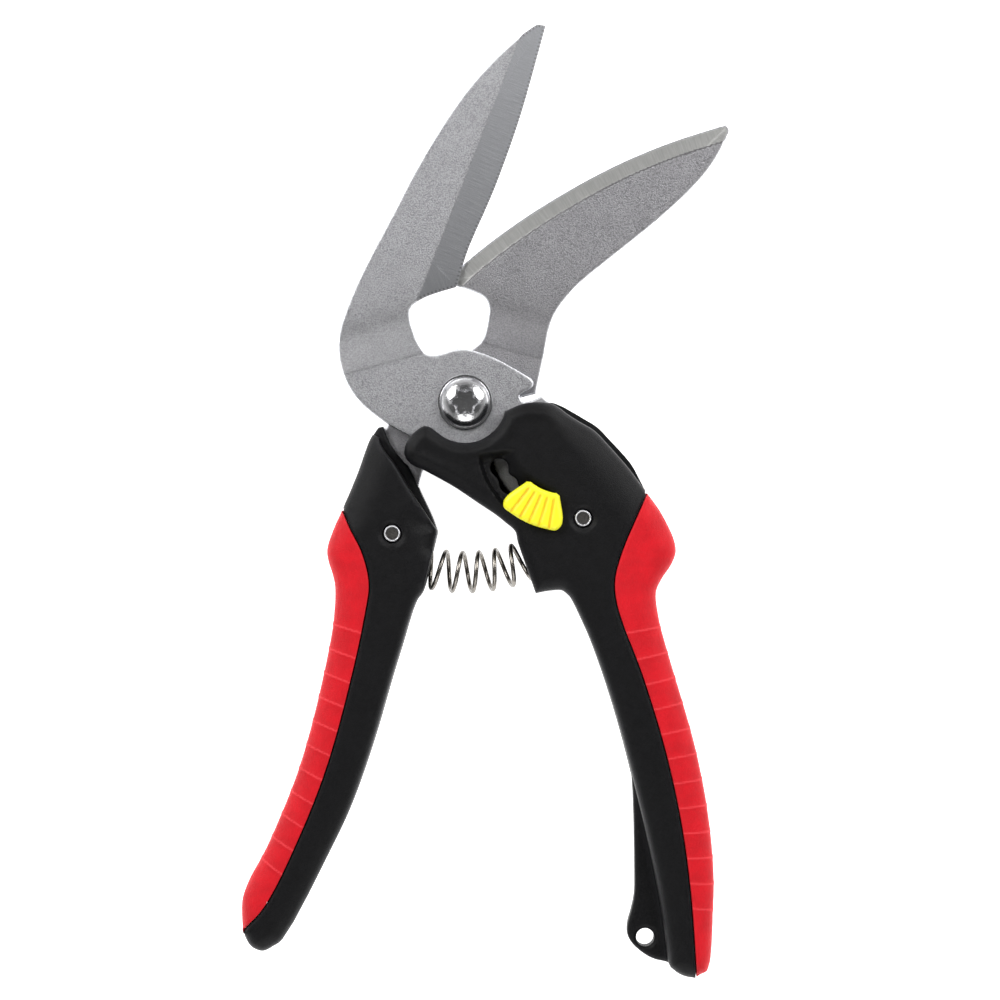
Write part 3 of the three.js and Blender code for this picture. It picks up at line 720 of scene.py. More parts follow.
@dataclass(frozen=True)
class Ring:
    """One ring of a turned piece: its radius, fixed or one for each direction, and its height."""
    radius: float | np.ndarray
    height: float


def turned(rings: Sequence[Ring], centre: Points, count: int = 96,
           hollow: bool = False) -> tuple[np.ndarray, np.ndarray, np.ndarray]:
    """Surface through rings stacked on one another, each point at (radius, direction, height).

    Args:
        rings: rings in order from the top of the axis to its foot, or round the section if hollow.
        centre: x, y of the axis.
        count: points on each ring.
        hollow: join the last ring to the first instead of closing both ends with a point.

    Returns:
        Vertices, triangles and four-sided faces.
    """
    angle = np.arange(count) * 2 * math.pi / count
    radius = np.stack([np.broadcast_to(ring.radius, count) for ring in rings])
    height = np.broadcast_to(np.array([ring.height for ring in rings])[:, None], radius.shape)
    places = np.stack([centre[0] + radius * np.cos(angle), centre[1] + radius * np.sin(angle),
                       height], axis=-1).reshape(-1, 3)
    index = np.arange(len(rings) * count).reshape(len(rings), count)
    above, below = (index, np.roll(index, -1, axis=0)) if hollow else (index[:-1], index[1:])
    quads = np.stack([above, below, np.roll(below, -1, axis=1), np.roll(above, -1, axis=1)],
                     axis=-1).reshape(-1, 4)
    if hollow:
        return places, np.empty((0, 3), dtype=int), quads
    ends = np.array([[*centre, rings[0].height], [*centre, rings[-1].height]])
    top, foot = len(places), len(places) + 1
    around = np.roll(index, -1, axis=1)
    triangles = np.concatenate([
        np.stack([np.full(count, top), index[0], around[0]], 1),
        np.stack([np.full(count, foot), around[-1], index[-1]], 1)])
    return np.concatenate([places, ends]), triangles, quads


# ---- Finishes -------------------------------------------------------------------------------
class Graph:
    """Adds nodes to a node tree in short calls."""

    def __init__(self, tree: bpy.types.NodeTree) -> None:
        """Starts on an empty tree."""
        self.tree = tree
        tree.nodes.clear()

    def add(self, kind: str, sockets: dict | None = None, **settings: object) -> bpy.types.Node:
        """Adds one node.

        Args:
            kind: Blender's name for the node type.
            sockets: input name or number to a value or to another node's output.
            settings: attributes of the node.

        Returns:
            The new node.
        """
        node = self.tree.nodes.new(kind)
        for name, value in settings.items():
            setattr(node, name, value)
        for key, value in (sockets or {}).items():
            if isinstance(value, bpy.types.NodeSocket):
                self.tree.links.new(value, node.inputs[key])
            else:
                node.inputs[key].default_value = value
        return node

    def math(self, kind: str, *values: object) -> bpy.types.NodeSocket:
        """Output of one Math node."""
        return self.add("ShaderNodeMath", dict(enumerate(values)), operation=kind).outputs[0]

    def between(self, value: object, low: float, high: float) -> bpy.types.NodeSocket:
        """Output of a Map Range node that rises smoothly from 0 at low to 1 at high.

        Args:
            value: a number or a socket.
            low: value that gives 0.
            high: value that gives 1.

        Returns:
            The node's output.
        """
        node = self.add("ShaderNodeMapRange", {0: value, 1: low, 2: high},
                        interpolation_type="SMOOTHSTEP")
        return node.outputs[0]

    def mix(self, share: object, first: object, second: object) -> bpy.types.NodeSocket:
        """Colour output of a Mix node."""
        node = self.add("ShaderNodeMix", {0: share, 6: first, 7: second}, data_type="RGBA")
        return node.outputs[2]

    def attribute(self, name: str) -> bpy.types.NodeSocket:
        """Number stored on the mesh under a name."""
        return self.add("ShaderNodeAttribute", attribute_name=name).outputs["Fac"]

    def noise(self, place: object, scale: float, detail: float = 2.0,
              rough: float = 0.5) -> bpy.types.NodeSocket:
        """Value of a Noise texture.

        Args:
            place: coordinates to read the texture at.
            scale: how fine the texture is.
            detail: how many finer layers it has.
            rough: share of each finer layer.

        Returns:
            The node's output.
        """
        node = self.add("ShaderNodeTexNoise",
                        {"Vector": place, "Scale": scale, "Detail": detail, "Roughness": rough})
        return node.outputs["Fac"]


def new_group(name: str, inputs: dict[str, str], outputs: dict[str, str]) -> tuple:
    """Makes a shader node group.

    Args:
        name: name of the group.
        inputs: socket name to socket type.
        outputs: socket name to socket type.

    Returns:
        The tree, its graph, its input node and its output node.
    """
    tree = bpy.data.node_groups.new(name, "ShaderNodeTree")
    for side, sockets in (("INPUT", inputs), ("OUTPUT", outputs)):
        for label, kind in sockets.items():
            tree.interface.new_socket(name=label, in_out=side, socket_type=kind)
    graph = Graph(tree)
    return tree, graph, graph.add("NodeGroupInput"), graph.add("NodeGroupOutput")


NUMBER, VECTOR = "NodeSocketFloat", "NodeSocketVector"


def grain_group() -> bpy.types.NodeTree:
    """Fine speckle over broad cloudiness: how a blasted or spark-eroded face varies.

    Returns:
        The group; it takes a place and the number of grains in a metre.
    """
    tree, graph, given, out = new_group(
        "surface_grain", {"Place": VECTOR, "Grain Size": NUMBER},
        {"Speckle": NUMBER, "Cloud": NUMBER})
    scaled = graph.add("ShaderNodeVectorMath", {0: given.outputs["Place"],
                                                3: given.outputs["Grain Size"]}, operation="SCALE")
    fine = graph.noise(scaled.outputs[0], 1.0, 3.0, 0.65)
    coarse = graph.noise(scaled.outputs[0], 0.07, 3.0, 0.55)
    graph.tree.links.new(graph.between(fine, 0.3, 0.7), out.inputs["Speckle"])
    graph.tree.links.new(graph.between(coarse, 0.3, 0.7), out.inputs["Cloud"])
    return tree


def wear_group() -> bpy.types.NodeTree:
    """Worn edge: a band along the outline, broken up by noise, and scattered specks.

    Returns:
        The group; it takes a place, the distance from the edge and the band's width.
    """
    tree, graph, given, out = new_group(
        "edge_wear", {"Place": VECTOR, "Edge Distance": NUMBER, "Width": NUMBER},
        {"Mask": NUMBER, "Dust": NUMBER})
    patchy = graph.noise(given.outputs["Place"], 420.0, 4.0, 0.6)
    reach = graph.math("MULTIPLY", given.outputs["Width"], graph.math("ADD", patchy, 0.35))
    band = graph.math("SUBTRACT", 1.0, graph.math("DIVIDE", given.outputs["Edge Distance"], reach))
    graph.tree.links.new(graph.between(band, 0.0, 0.9), out.inputs["Mask"])
    specks = graph.noise(given.outputs["Place"], 1500.0, 2.0, 0.5)
    graph.tree.links.new(graph.between(specks, 0.71, 0.78), out.inputs["Dust"])
    return tree


def grind_group() -> bpy.types.NodeTree:
    """Grinding lines square to an edge: noise stretched across the running length.

    Returns:
        The group; it takes the running length and the distance from the edge.
    """
    tree, graph, given, out = new_group(
        "grind_lines", {"Along": NUMBER, "Across": NUMBER}, {"Lines": NUMBER})
    along = graph.math("MULTIPLY", given.outputs["Along"], 2.6)
    across = graph.math("MULTIPLY", given.outputs["Across"], 0.18)
    place = graph.add("ShaderNodeCombineXYZ", {0: along, 1: across})
    graph.tree.links.new(graph.noise(place.outputs[0], 1.0, 4.0, 0.7), out.inputs["Lines"])
    return tree


def tint(red: float, green: float, blue: float) -> tuple[float, float, float, float]:
    """Turns the numbers of a colour card into a linear colour.

    Args:
        red: red from 0 to 255.
        green: green from 0 to 255.
        blue: blue from 0 to 255.

    Returns:
        Linear red, green, blue and full opacity.
    """
    def line(value: float) -> float:
        """One channel without its display curve."""
        share = value / 255
        return share / 12.92 if share <= 0.04045 else ((share + 0.055) / 1.055) ** 2.4
    return (line(red), line(green), line(blue), 1.0)


def dimmed(colour: tuple, share: float) -> tuple:
    """A colour at a share of its brightness."""
    return tuple(share * channel for channel in colour[:3]) + (1.0,)


@dataclass(frozen=True)
class Finish:
    """What every finish shares: its name and the groups that it draws on."""
    name: str
    groups: dict[str, bpy.types.NodeTree]

    def start(self) -> tuple[bpy.types.Material, Graph, bpy.types.NodeSocket]:
        """An empty material, its graph and the object's own coordinates in metres.

        Returns:
            The material, its graph and the coordinates.
        """
        material = bpy.data.materials.new(self.name)
        material.use_nodes = True
        graph = Graph(material.node_tree)
        return material, graph, graph.add("ShaderNodeTexCoord").outputs["Object"]

    def grain(self, graph: Graph, place: bpy.types.NodeSocket, size: float) -> bpy.types.Node:
        """Grain group; size is the number of grains in a metre."""
        return graph.add("ShaderNodeGroup", {"Place": place, "Grain Size": size},
                         node_tree=self.groups["grain"])

    def wear(self, graph: Graph, place: bpy.types.NodeSocket, width: float) -> bpy.types.Node:
        """Worn-edge group with a band of that many millimetres."""
        sockets = {"Place": place, "Edge Distance": graph.attribute("edge"), "Width": width}
        return graph.add("ShaderNodeGroup", sockets, node_tree=self.groups["wear"])

    def close(self, graph: Graph, sockets: dict, height: object = None, depth: float = 0.0) -> None:
        """Adds the shader and the output.

        Args:
            graph: the material's graph.
            sockets: inputs of the Principled shader.
            height: bump height, if any.
            depth: bump distance in metres.
        """
        if height is not None:
            normal = graph.add("ShaderNodeBump", {"Strength": 1.0, "Distance": depth, "Height": height})
            sockets = {**sockets, "Normal": normal.outputs[0]}
        shader = graph.add("ShaderNodeBsdfPrincipled", sockets)
        graph.add("ShaderNodeOutputMaterial", {0: shader.outputs[0]})


@dataclass(frozen=True)
class BladeSteel(Finish):
    """Blasted stainless sheet with ground faces: `land` marks those, `along` runs with the edge."""
    face: tuple = tint(184, 184, 187)
    ground: tuple = tint(160, 160, 162)
    # painted highlight colour for the rounded stamped edges
    bright: tuple = tint(235, 236, 240)
    # painted shade colour for the dark line where a ground face begins; also the colour of the tooth
    # marks
    groove: tuple = tint(84, 82, 84)
    # painted shade colour for steel under the front casing
    casing_shade_colour: tuple = tint(120, 120, 120)
    speckle_tone: float = 0.55         # brightness of the dark specks
    line_tone: float = 0.78            # brightness of the dark grinding lines
    ground_speckle: float = 0.0
    step_shade: float = 0.0            # strength of the dark line where a ground face begins
    teeth: float = 0.0                 # strength of the serration along the cutting edge
    tooth_pitch: float = 0.85

    def build(self) -> bpy.types.Material:
        """Speckled face, lined ground faces, painted highlight on the rounded edges, painted shade at
        each step and under the casing.

        Returns:
            The material.
        """
        material, graph, place = self.start()
        grain = self.grain(graph, place, 3300.0)
        speckle, cloud = grain.outputs["Speckle"], grain.outputs["Cloud"]
        darker = dimmed(self.face, self.speckle_tone)
        shade = graph.math("MULTIPLY_ADD", cloud, 0.12, graph.math("MULTIPLY", speckle, 0.88))
        blasted = graph.mix(shade, darker, self.face)
        lines = graph.add("ShaderNodeGroup", {"Along": graph.attribute("along"),
                                              "Across": graph.attribute("edge")},
                          node_tree=self.groups["grind"]).outputs["Lines"]
        worn = dimmed(self.ground, self.line_tone)
        lined = graph.mix(graph.between(lines, 0.3, 0.75), worn, self.ground)
        lined = graph.mix(graph.math("MULTIPLY", speckle, self.ground_speckle), lined, worn)
        land = graph.attribute("land")
        colour = graph.mix(land, blasted, lined)
        # painted shade: a dark line where a ground face begins, as strong as step_shade
        step = graph.math("MULTIPLY", graph.math("SUBTRACT", 1.0, land), land)
        colour = graph.mix(graph.math("MULTIPLY", step, self.step_shade), colour, self.groove)
        wave = graph.math("SINE", graph.math("MULTIPLY", graph.attribute("along"),
                                             2 * math.pi / self.tooth_pitch))
        near = graph.math("SUBTRACT", 1.0, graph.between(graph.attribute("edge"), 0.25, 0.7))
        tooth = graph.math("MULTIPLY", graph.math("MULTIPLY", graph.between(wave, -0.2, 0.5), near),
                           graph.math("MULTIPLY", land, self.teeth))
        colour = graph.mix(tooth, colour, self.groove)
        # painted highlight: the rounded edges are lightened, less so along the teeth
        edge = graph.math("SUBTRACT", 1.0, graph.between(graph.attribute("edge"), 0.1, 0.45))
        edge = graph.math("MULTIPLY", edge, graph.math("MULTIPLY_ADD", land, -self.teeth, 1.0))
        colour = graph.mix(edge, colour, self.bright)
        # painted shade: steel under the front casing is darkened
        colour = graph.mix(graph.math("MULTIPLY", graph.attribute("casing_shade"), 0.85), colour, self.casing_shade_colour)
        rough = graph.math("SUBTRACT", graph.math("MULTIPLY_ADD", speckle, 0.1, 0.38),
                           graph.math("MULTIPLY", edge, 0.16))
        height = graph.math("ADD", graph.math("MULTIPLY", speckle,
                                              graph.math("SUBTRACT", 1.0, land)),
                            graph.math("MULTIPLY", lines, land))
        self.close(graph, {"Base Color": colour, "Metallic": 0.88, "Roughness": rough},
                   height, 0.000035)
        return material


@dataclass(frozen=True)
class Metal(Finish):
    """Hardware metal: a colour, a roughness and a fine grain."""
    colour: tuple = tint(205, 206, 210)
    rough: float = 0.2
    grain_size: float = 3000.0
    depth: float = 0.00001
    # painted highlight colour, used on the rivet's rolled rim
    rim: tuple = tint(225, 225, 228)   # colour where the attribute `rim` is 1

    def build(self) -> bpy.types.Material:
        """Slightly cloudy metal with faint handling marks, and a painted highlight where the attribute
        `rim` is 1.

        Returns:
            The material.
        """
        material, graph, place = self.start()
        grain = self.grain(graph, place, self.grain_size)
        darker = dimmed(self.colour, 0.75)
        colour = graph.mix(graph.math("MULTIPLY_ADD", grain.outputs["Cloud"], 0.6,
                                      graph.math("MULTIPLY", grain.outputs["Speckle"], 0.4)),
                           darker, self.colour)
        # painted highlight on the rivet's rolled rim
        colour = graph.mix(graph.attribute("rim"), colour, self.rim)
        rough = graph.math("MULTIPLY_ADD", grain.outputs["Speckle"], 0.1, self.rough)
        self.close(graph, {"Base Color": colour, "Metallic": 1.0, "Roughness": rough},
                   grain.outputs["Speckle"], self.depth)
        return material


@dataclass(frozen=True)
class MouldedPlastic(Finish):
    """Moulded plastic with a spark-eroded grain and rubbed edges."""
    colour: tuple = tint(10, 10, 12)
    rubbed: tuple = tint(34, 34, 37)
    rough: float = 0.33
    grain_size: float = 4200.0
    depth: float = 0.00003
    dust: float = 0.35

    def build(self) -> bpy.types.Material:
        """Matte face with faint cloudiness, rubbed edges and a few specks of dust.

        Returns:
            The material.
        """
        material, graph, place = self.start()
        grain = self.grain(graph, place, self.grain_size)
        wear = self.wear(graph, place, 1.6)
        deeper = dimmed(self.colour, 0.7)
        colour = graph.mix(grain.outputs["Cloud"], deeper, self.colour)
        lit = graph.between(grain.outputs["Speckle"], 0.45, 1.0)
        colour = graph.mix(graph.math("MULTIPLY", lit, 0.2), colour, self.rubbed)
        colour = graph.mix(graph.math("MULTIPLY", wear.outputs["Mask"], 0.4), colour, self.rubbed)
        colour = graph.mix(graph.math("MULTIPLY", wear.outputs["Dust"], self.dust), colour, self.rubbed)
        rough = graph.math("MULTIPLY_ADD", grain.outputs["Speckle"], 0.14, self.rough)
        self.close(graph, {"Base Color": colour, "Roughness": rough, "Specular IOR Level": 0.19},
                   grain.outputs["Speckle"], self.depth)
        return material


@dataclass(frozen=True)
class GripRubber(Finish):
    """Soft elastomer: `rib` is 1 on the crest of each rib and 0 between them."""
    colour: tuple = tint(218, 8, 28)
    # painted highlight colour for the rib crests; also the colour of rubbed edges
    crest: tuple = tint(246, 70, 78)

    def build(self) -> bpy.types.Material:
        """Saturated matte face with a painted highlight on the rib crests, so the hollows look slightly
        darker.

        Returns:
            The material.
        """
        material, graph, place = self.start()
        grain = self.grain(graph, place, 3600.0)
        wear = self.wear(graph, place, 1.2)
        deeper = dimmed(self.colour, 0.8)
        colour = graph.mix(graph.math("MULTIPLY_ADD", grain.outputs["Cloud"], 0.7,
                                      graph.math("MULTIPLY", grain.outputs["Speckle"], 0.3)),
                           deeper, self.colour)
        # painted highlight on the rib crests
        crest = graph.math("MULTIPLY", graph.between(graph.attribute("rib"), 0.5, 1.0), 0.6)
        colour = graph.mix(crest, colour, self.crest)
        colour = graph.mix(graph.math("MULTIPLY", wear.outputs["Mask"], 0.12), colour, self.crest)
        rough = graph.math("MULTIPLY_ADD", grain.outputs["Speckle"], 0.12, 0.5)
        self.close(graph, {"Base Color": colour, "Roughness": rough, "Sheen Weight": 0.04,
                           "Sheen Roughness": 0.5, "Specular IOR Level": 0.26},
                   grain.outputs["Speckle"], 0.00003)
        return material


@dataclass(frozen=True)
class ButtonPlastic(Finish):
    """Yellow plastic: `groove` is 1 at the bottom of each finger groove."""
    colour: tuple = tint(255, 250, 42)
    # painted shade colour for the finger grooves
    shade: tuple = tint(240, 190, 22)

    def build(self) -> bpy.types.Material:
        """Bright face with painted shade in the grooves.

        Returns:
            The material.
        """
        material, graph, place = self.start()
        grain = self.grain(graph, place, 3000.0)
        # painted shade in the finger grooves
        colour = graph.mix(graph.between(graph.attribute("groove"), 0.2, 1.0), self.colour, self.shade)
        warm = tuple(a * b for a, b in zip(self.colour[:3], (0.96, 0.93, 0.8))) + (1.0,)
        colour = graph.mix(graph.math("MULTIPLY", grain.outputs["Cloud"], 0.25), colour, warm)
        rough = graph.math("MULTIPLY_ADD", grain.outputs["Speckle"], 0.08, 0.36)
        self.close(graph, {"Base Color": colour, "Roughness": rough, "Subsurface Weight": 0.06,
                           "Subsurface Radius": (0.002, 0.0015, 0.0005)},
                   grain.outputs["Speckle"], 0.000015)
        return material


@dataclass
class Workshop:
    """The finishes, built once, and the fitting of each piece."""
    finishes: dict[str, bpy.types.Material] = field(default_factory=dict)

    def __post_init__(self) -> None:
        """Builds every material."""
        groups = {"grain": grain_group(), "wear": wear_group(), "grind": grind_group()}
        steel = BladeSteel("blasted_steel", groups, ground=tint(154, 155, 158), teeth=0.8,
                           line_tone=0.86, ground_speckle=0.7)
        lower = BladeSteel("blasted_steel_lower", groups, face=tint(166, 165, 168),
                           ground=tint(182, 182, 180), step_shade=3.4)
        self.finishes = {
            "upper": steel.build(), "lower": lower.build(),
            "bolt": Metal("polished_bolt", groups, tint(228, 228, 230), 0.1).build(),
            "spring": Metal("spring_wire", groups, tint(150, 145, 138), 0.16, 5000.0).build(),
            "rivet": Metal("rivet_steel", groups, tint(84, 82, 80), 0.42, 3000.0, 0.00004).build(),
            "plain": Metal("zinc_steel", groups, tint(176, 178, 184), 0.34, 2500.0, 0.00002).build(),
            "lever": Metal("stamped_steel", groups, tint(120, 120, 124), 0.42, 3500.0, 0.00003).build(),
            "black": MouldedPlastic("black_casing", groups).build(),
            "red": GripRubber("red_grip", groups).build(),
            "yellow": ButtonPlastic("yellow_button", groups).build(),
        }

    def dress(self, piece: bpy.types.Object, finish: str) -> None:
        """Gives a piece one of the finishes."""
        piece.data.materials.clear()
        piece.data.materials.append(self.finishes[finish])

    def fit(self, piece: bpy.types.Object, finish: str, body: Body | None, slot: Slot,
            *nodes: str) -> None:
        """Dresses a piece and puts it in the place of its CAD nodes.

        Args:
            piece: the new object.
            finish: name of its finish.
            body: body it rides on, or None to leave it on neither.
            slot: the record's slot for it; not used.
            nodes: CAD nodes that it stands for.
        """
        self.dress(piece, finish)
        if body is not None:
            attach(piece, body.value)
        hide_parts(*nodes)
        log.info("%s: %d faces on %s", piece.name, len(piece.data.polygons), body)


# ---- Handles --------------------------------------------------------------------------------
@dataclass
class Handle:
    """One handle: two casings that meet at the split, and the soft grip round their outer side."""
    side: str
    body: Body
    front_level: float = 13.7          # above the lever and under the edge rounding
    back_level: float = 2.2
    back_cuts: tuple[float, ...] = (7.7, 5.0, 3.6, 2.6)
    grip_level: float = 13.9
    edge_width: float = 3.4
    edge_drop: float = 2.6
    grip_width: float = 4.6
    grip_drop: float = 3.6
    seam: float = 0.12
    seam_drop: float = 0.15
    seam_width: float = 0.5
    free_inset: float = 0.9
    hole_inset: float = 0.1
    hole_reach: float = 4.4
    dish_depth: float = 0.5
    dish_from: float = 2.25
    dish_to: float = 3.0
    sharp_turn: float = 62.0
    rib_count: int = 12
    rib_height: float = 0.1
    rib_width: float = 0.42
    rib_first: tuple[float, float] = (37.0, -48.0)
    rib_last: tuple[float, float] = (48.2, -106.2)
    rib_skew: float = -0.07

    def __post_init__(self) -> None:
        """Cuts the outlines and sorts their edges into free ones and those at the grip."""
        self.front_name = f"{self.side}_front_casing"
        self.back_name = f"{self.side}_back_casing"
        self.grip_name = f"{self.side}_grip"
        self.front = section(self.front_name, self.front_level, self.sharp_turn)
        self.back = section(self.back_name, self.back_level, self.sharp_turn)
        self.grip = section(self.grip_name, self.grip_level, self.sharp_turn)
        self.front_free, self.front_seam = split_near(self.front, self.grip)
        self.back_free, self.back_seam = split_near(self.back, self.grip)
        self.grip_free, self.grip_seam = split_near(self.grip, self.front)
        self.grip_free = self.grip_free.unbroken()
        self.top = box_mm(self.grip_name)[1][2]
        self.split_front = box_mm(self.front_name)[0][2]
        self.split_back = box_mm(self.back_name)[1][2]
        self.rivet = centre_mm(f"{self.side}_rivet")[:2]

    def outer(self, casing_free: Outline) -> Outline:
        """Free edges of the whole handle: the casing's and the grip's together."""
        return casing_free.plus(self.grip_free)

    def holes(self, edges: Outline) -> np.ndarray:
        """True for edges round the rivet."""
        return np.linalg.norm(edges.middles() - self.rivet, axis=1) < self.hole_reach

    def casing_sides(self, free: Outline, seam: Outline) -> tuple[Outline, list[Side]]:
        """Sorts a casing's edges for its shell.

        Args:
            free: the casing's free edges, the rivet's hole included.
            seam: its edges along the grip.

        Returns:
            The handle's outer edges, and the casing's sides: free, hole and seam.
        """
        hole = self.holes(free)
        plain = free.only(~hole)
        return self.outer(plain), [Side(plain, self.free_inset), Side(free.only(hole), self.hole_inset),
                                   Side(seam, self.seam)]

    def face(self, outer: Outline, points: Points) -> np.ndarray:
        """Fall of a casing's face towards the handle's free edges."""
        return crowned(outer.distance(points), self.edge_width, self.edge_drop)

    def groove(self, seam: Outline, points: Points) -> np.ndarray:
        """Small fall towards the seam between casing and grip."""
        return self.seam_drop * (1 - smoothstep(seam.distance(points), 0.0, self.seam_width))

    def dish(self, points: Points) -> np.ndarray:
        """Shallow round dish about the rivet's head."""
        away = np.linalg.norm(points - self.rivet, axis=1)
        return self.dish_depth * (1 - smoothstep(away, self.dish_from, self.dish_to))

    def rib_number(self, points: Points) -> tuple[np.ndarray, float]:
        """Which rib each point is at, with fractions between ribs.

        Ribs run nearly square to the grip's outer edge, from the first one to the last.

        Args:
            points: an array of x, y pairs.

        Returns:
            The number of each point, and the ribs' pitch in millimetres.
        """
        ends = np.array([self.rib_first, self.rib_last])
        distance, _, along = self.grip_free.nearest(np.concatenate([ends, points]))
        down = np.sign(along[1] - along[0])
        place = along * down - self.rib_skew * distance
        pitch = (place[1] - place[0]) / (self.rib_count - 1)
        return (place[2:] - place[0]) / pitch, pitch

    def rib_shape(self, points: Points) -> np.ndarray:
        """Narrow bells one pitch apart.

        Args:
            points: an array of x, y pairs.

        Returns:
            1 on the crest of each rib, 0 between them.
        """
        number, pitch = self.rib_number(points)
        closest = np.clip(np.round(number), 0, self.rib_count - 1)
        return bump((number - closest) * pitch, 0, self.rib_width)

    def hollows(self, points: Points) -> np.ndarray:
        """Depth of the grip between its ribs: shallow troughs from crest to crest.

        Args:
            points: an array of x, y pairs.

        Returns:
            The depth, 0 above the first rib and below the last.
        """
        number = self.rib_number(points)[0]
        zone = smoothstep(number, -0.6, 0.0) * (1 - smoothstep(number - self.rib_count, -1.0, -0.4))
        return self.rib_height * zone * (1 - self.rib_shape(points))

    def levels(self, node: str, heights: Sequence[float], points: Points, split: float) -> np.ndarray:
        """Inner face of a casing, read off the CAD part.

        The first height at which a cut of the part covers a point is where its material begins.

        Args:
            node: the CAD casing.
            heights: cutting heights from the split outwards.
            points: places to read.
            split: height of the inner face where nothing is cut away.

        Returns:
            Height of the inner face.
        """
        found = np.full(len(points), split)
        for height in reversed(heights):
            found = np.where(Outline.closed(cut(node, height)).covers(points), height, found)
        return np.where(found == heights[0], split, found)

    def back_extras(self) -> list[tuple]:
        """Further closed pieces of the back casing."""
        return []

    def back_piece(self, shop: Workshop) -> None:
        """Back casing: rounded back face, counterbore and the rooms for blade and spring.

        Args:
            shop: the workshop.
        """
        outer, sides = self.casing_sides(self.back_free, self.back_seam)

        def upper(points: Points) -> np.ndarray:
            """Height of the inside, seen from the split."""
            return self.levels(self.back_name, self.back_cuts, points, self.split_back)

        def lower(points: Points) -> np.ndarray:
            """Height of the back face."""
            return np.maximum(self.face(outer, points), 0) + self.groove(self.back_seam, points)

        shell = Shell(self.back, sides, upper, lower)
        piece = make_piece(f"{self.side}_back_cover", *merged([shell.arrays(), *self.back_extras()]))
        set_attribute(piece, "edge", outer.distance(flat_points(piece)))
        shop.fit(piece, "black", self.body, Slot.BLACK, self.back_name)

    def grip_piece(self, shop: Workshop) -> None:
        """The soft grip: rounded outer side with ribs that wrap round it.

        Args:
            shop: the workshop.
        """
        outer = self.outer(self.front_free)

        def fall(points: Points) -> np.ndarray:
            """Fall of the grip's face: edge rounding and the hollows between ribs."""
            rounded = crowned(outer.distance(points), self.grip_width, self.grip_drop)
            return rounded + self.hollows(points) + self.groove(self.grip_seam, points)

        def sink(points: Points) -> np.ndarray:
            """How far the side wall stands back between ribs."""
            return self.hollows(points) * 0.9 * (self.grip_free.distance(points) < 0.3)

        sides = [Side(self.grip_free, self.free_inset, self.grip_seam), Side(self.grip_seam, self.seam)]
        shell = Shell(self.grip, sides, lambda p: self.top - fall(p), fall, sink=sink)
        piece = make_piece(self.grip_name + "_skin", *shell.arrays())
        points = flat_points(piece)
        set_attribute(piece, "edge", outer.distance(points))
        # the finish paints a highlight on the rib crests
        set_attribute(piece, "rib", self.rib_shape(points))
        shop.fit(piece, "red", self.body, Slot.RED, self.grip_name)

    def front_piece(self, shop: Workshop) -> None:
        """Front casing; each handle has its own."""
        raise NotImplementedError

    def build(self, shop: Workshop) -> None:
        """Makes the handle's three mouldings.

        Args:
            shop: the workshop.
        """
        self.front_piece(shop)
        self.back_piece(shop)
        self.grip_piece(shop)


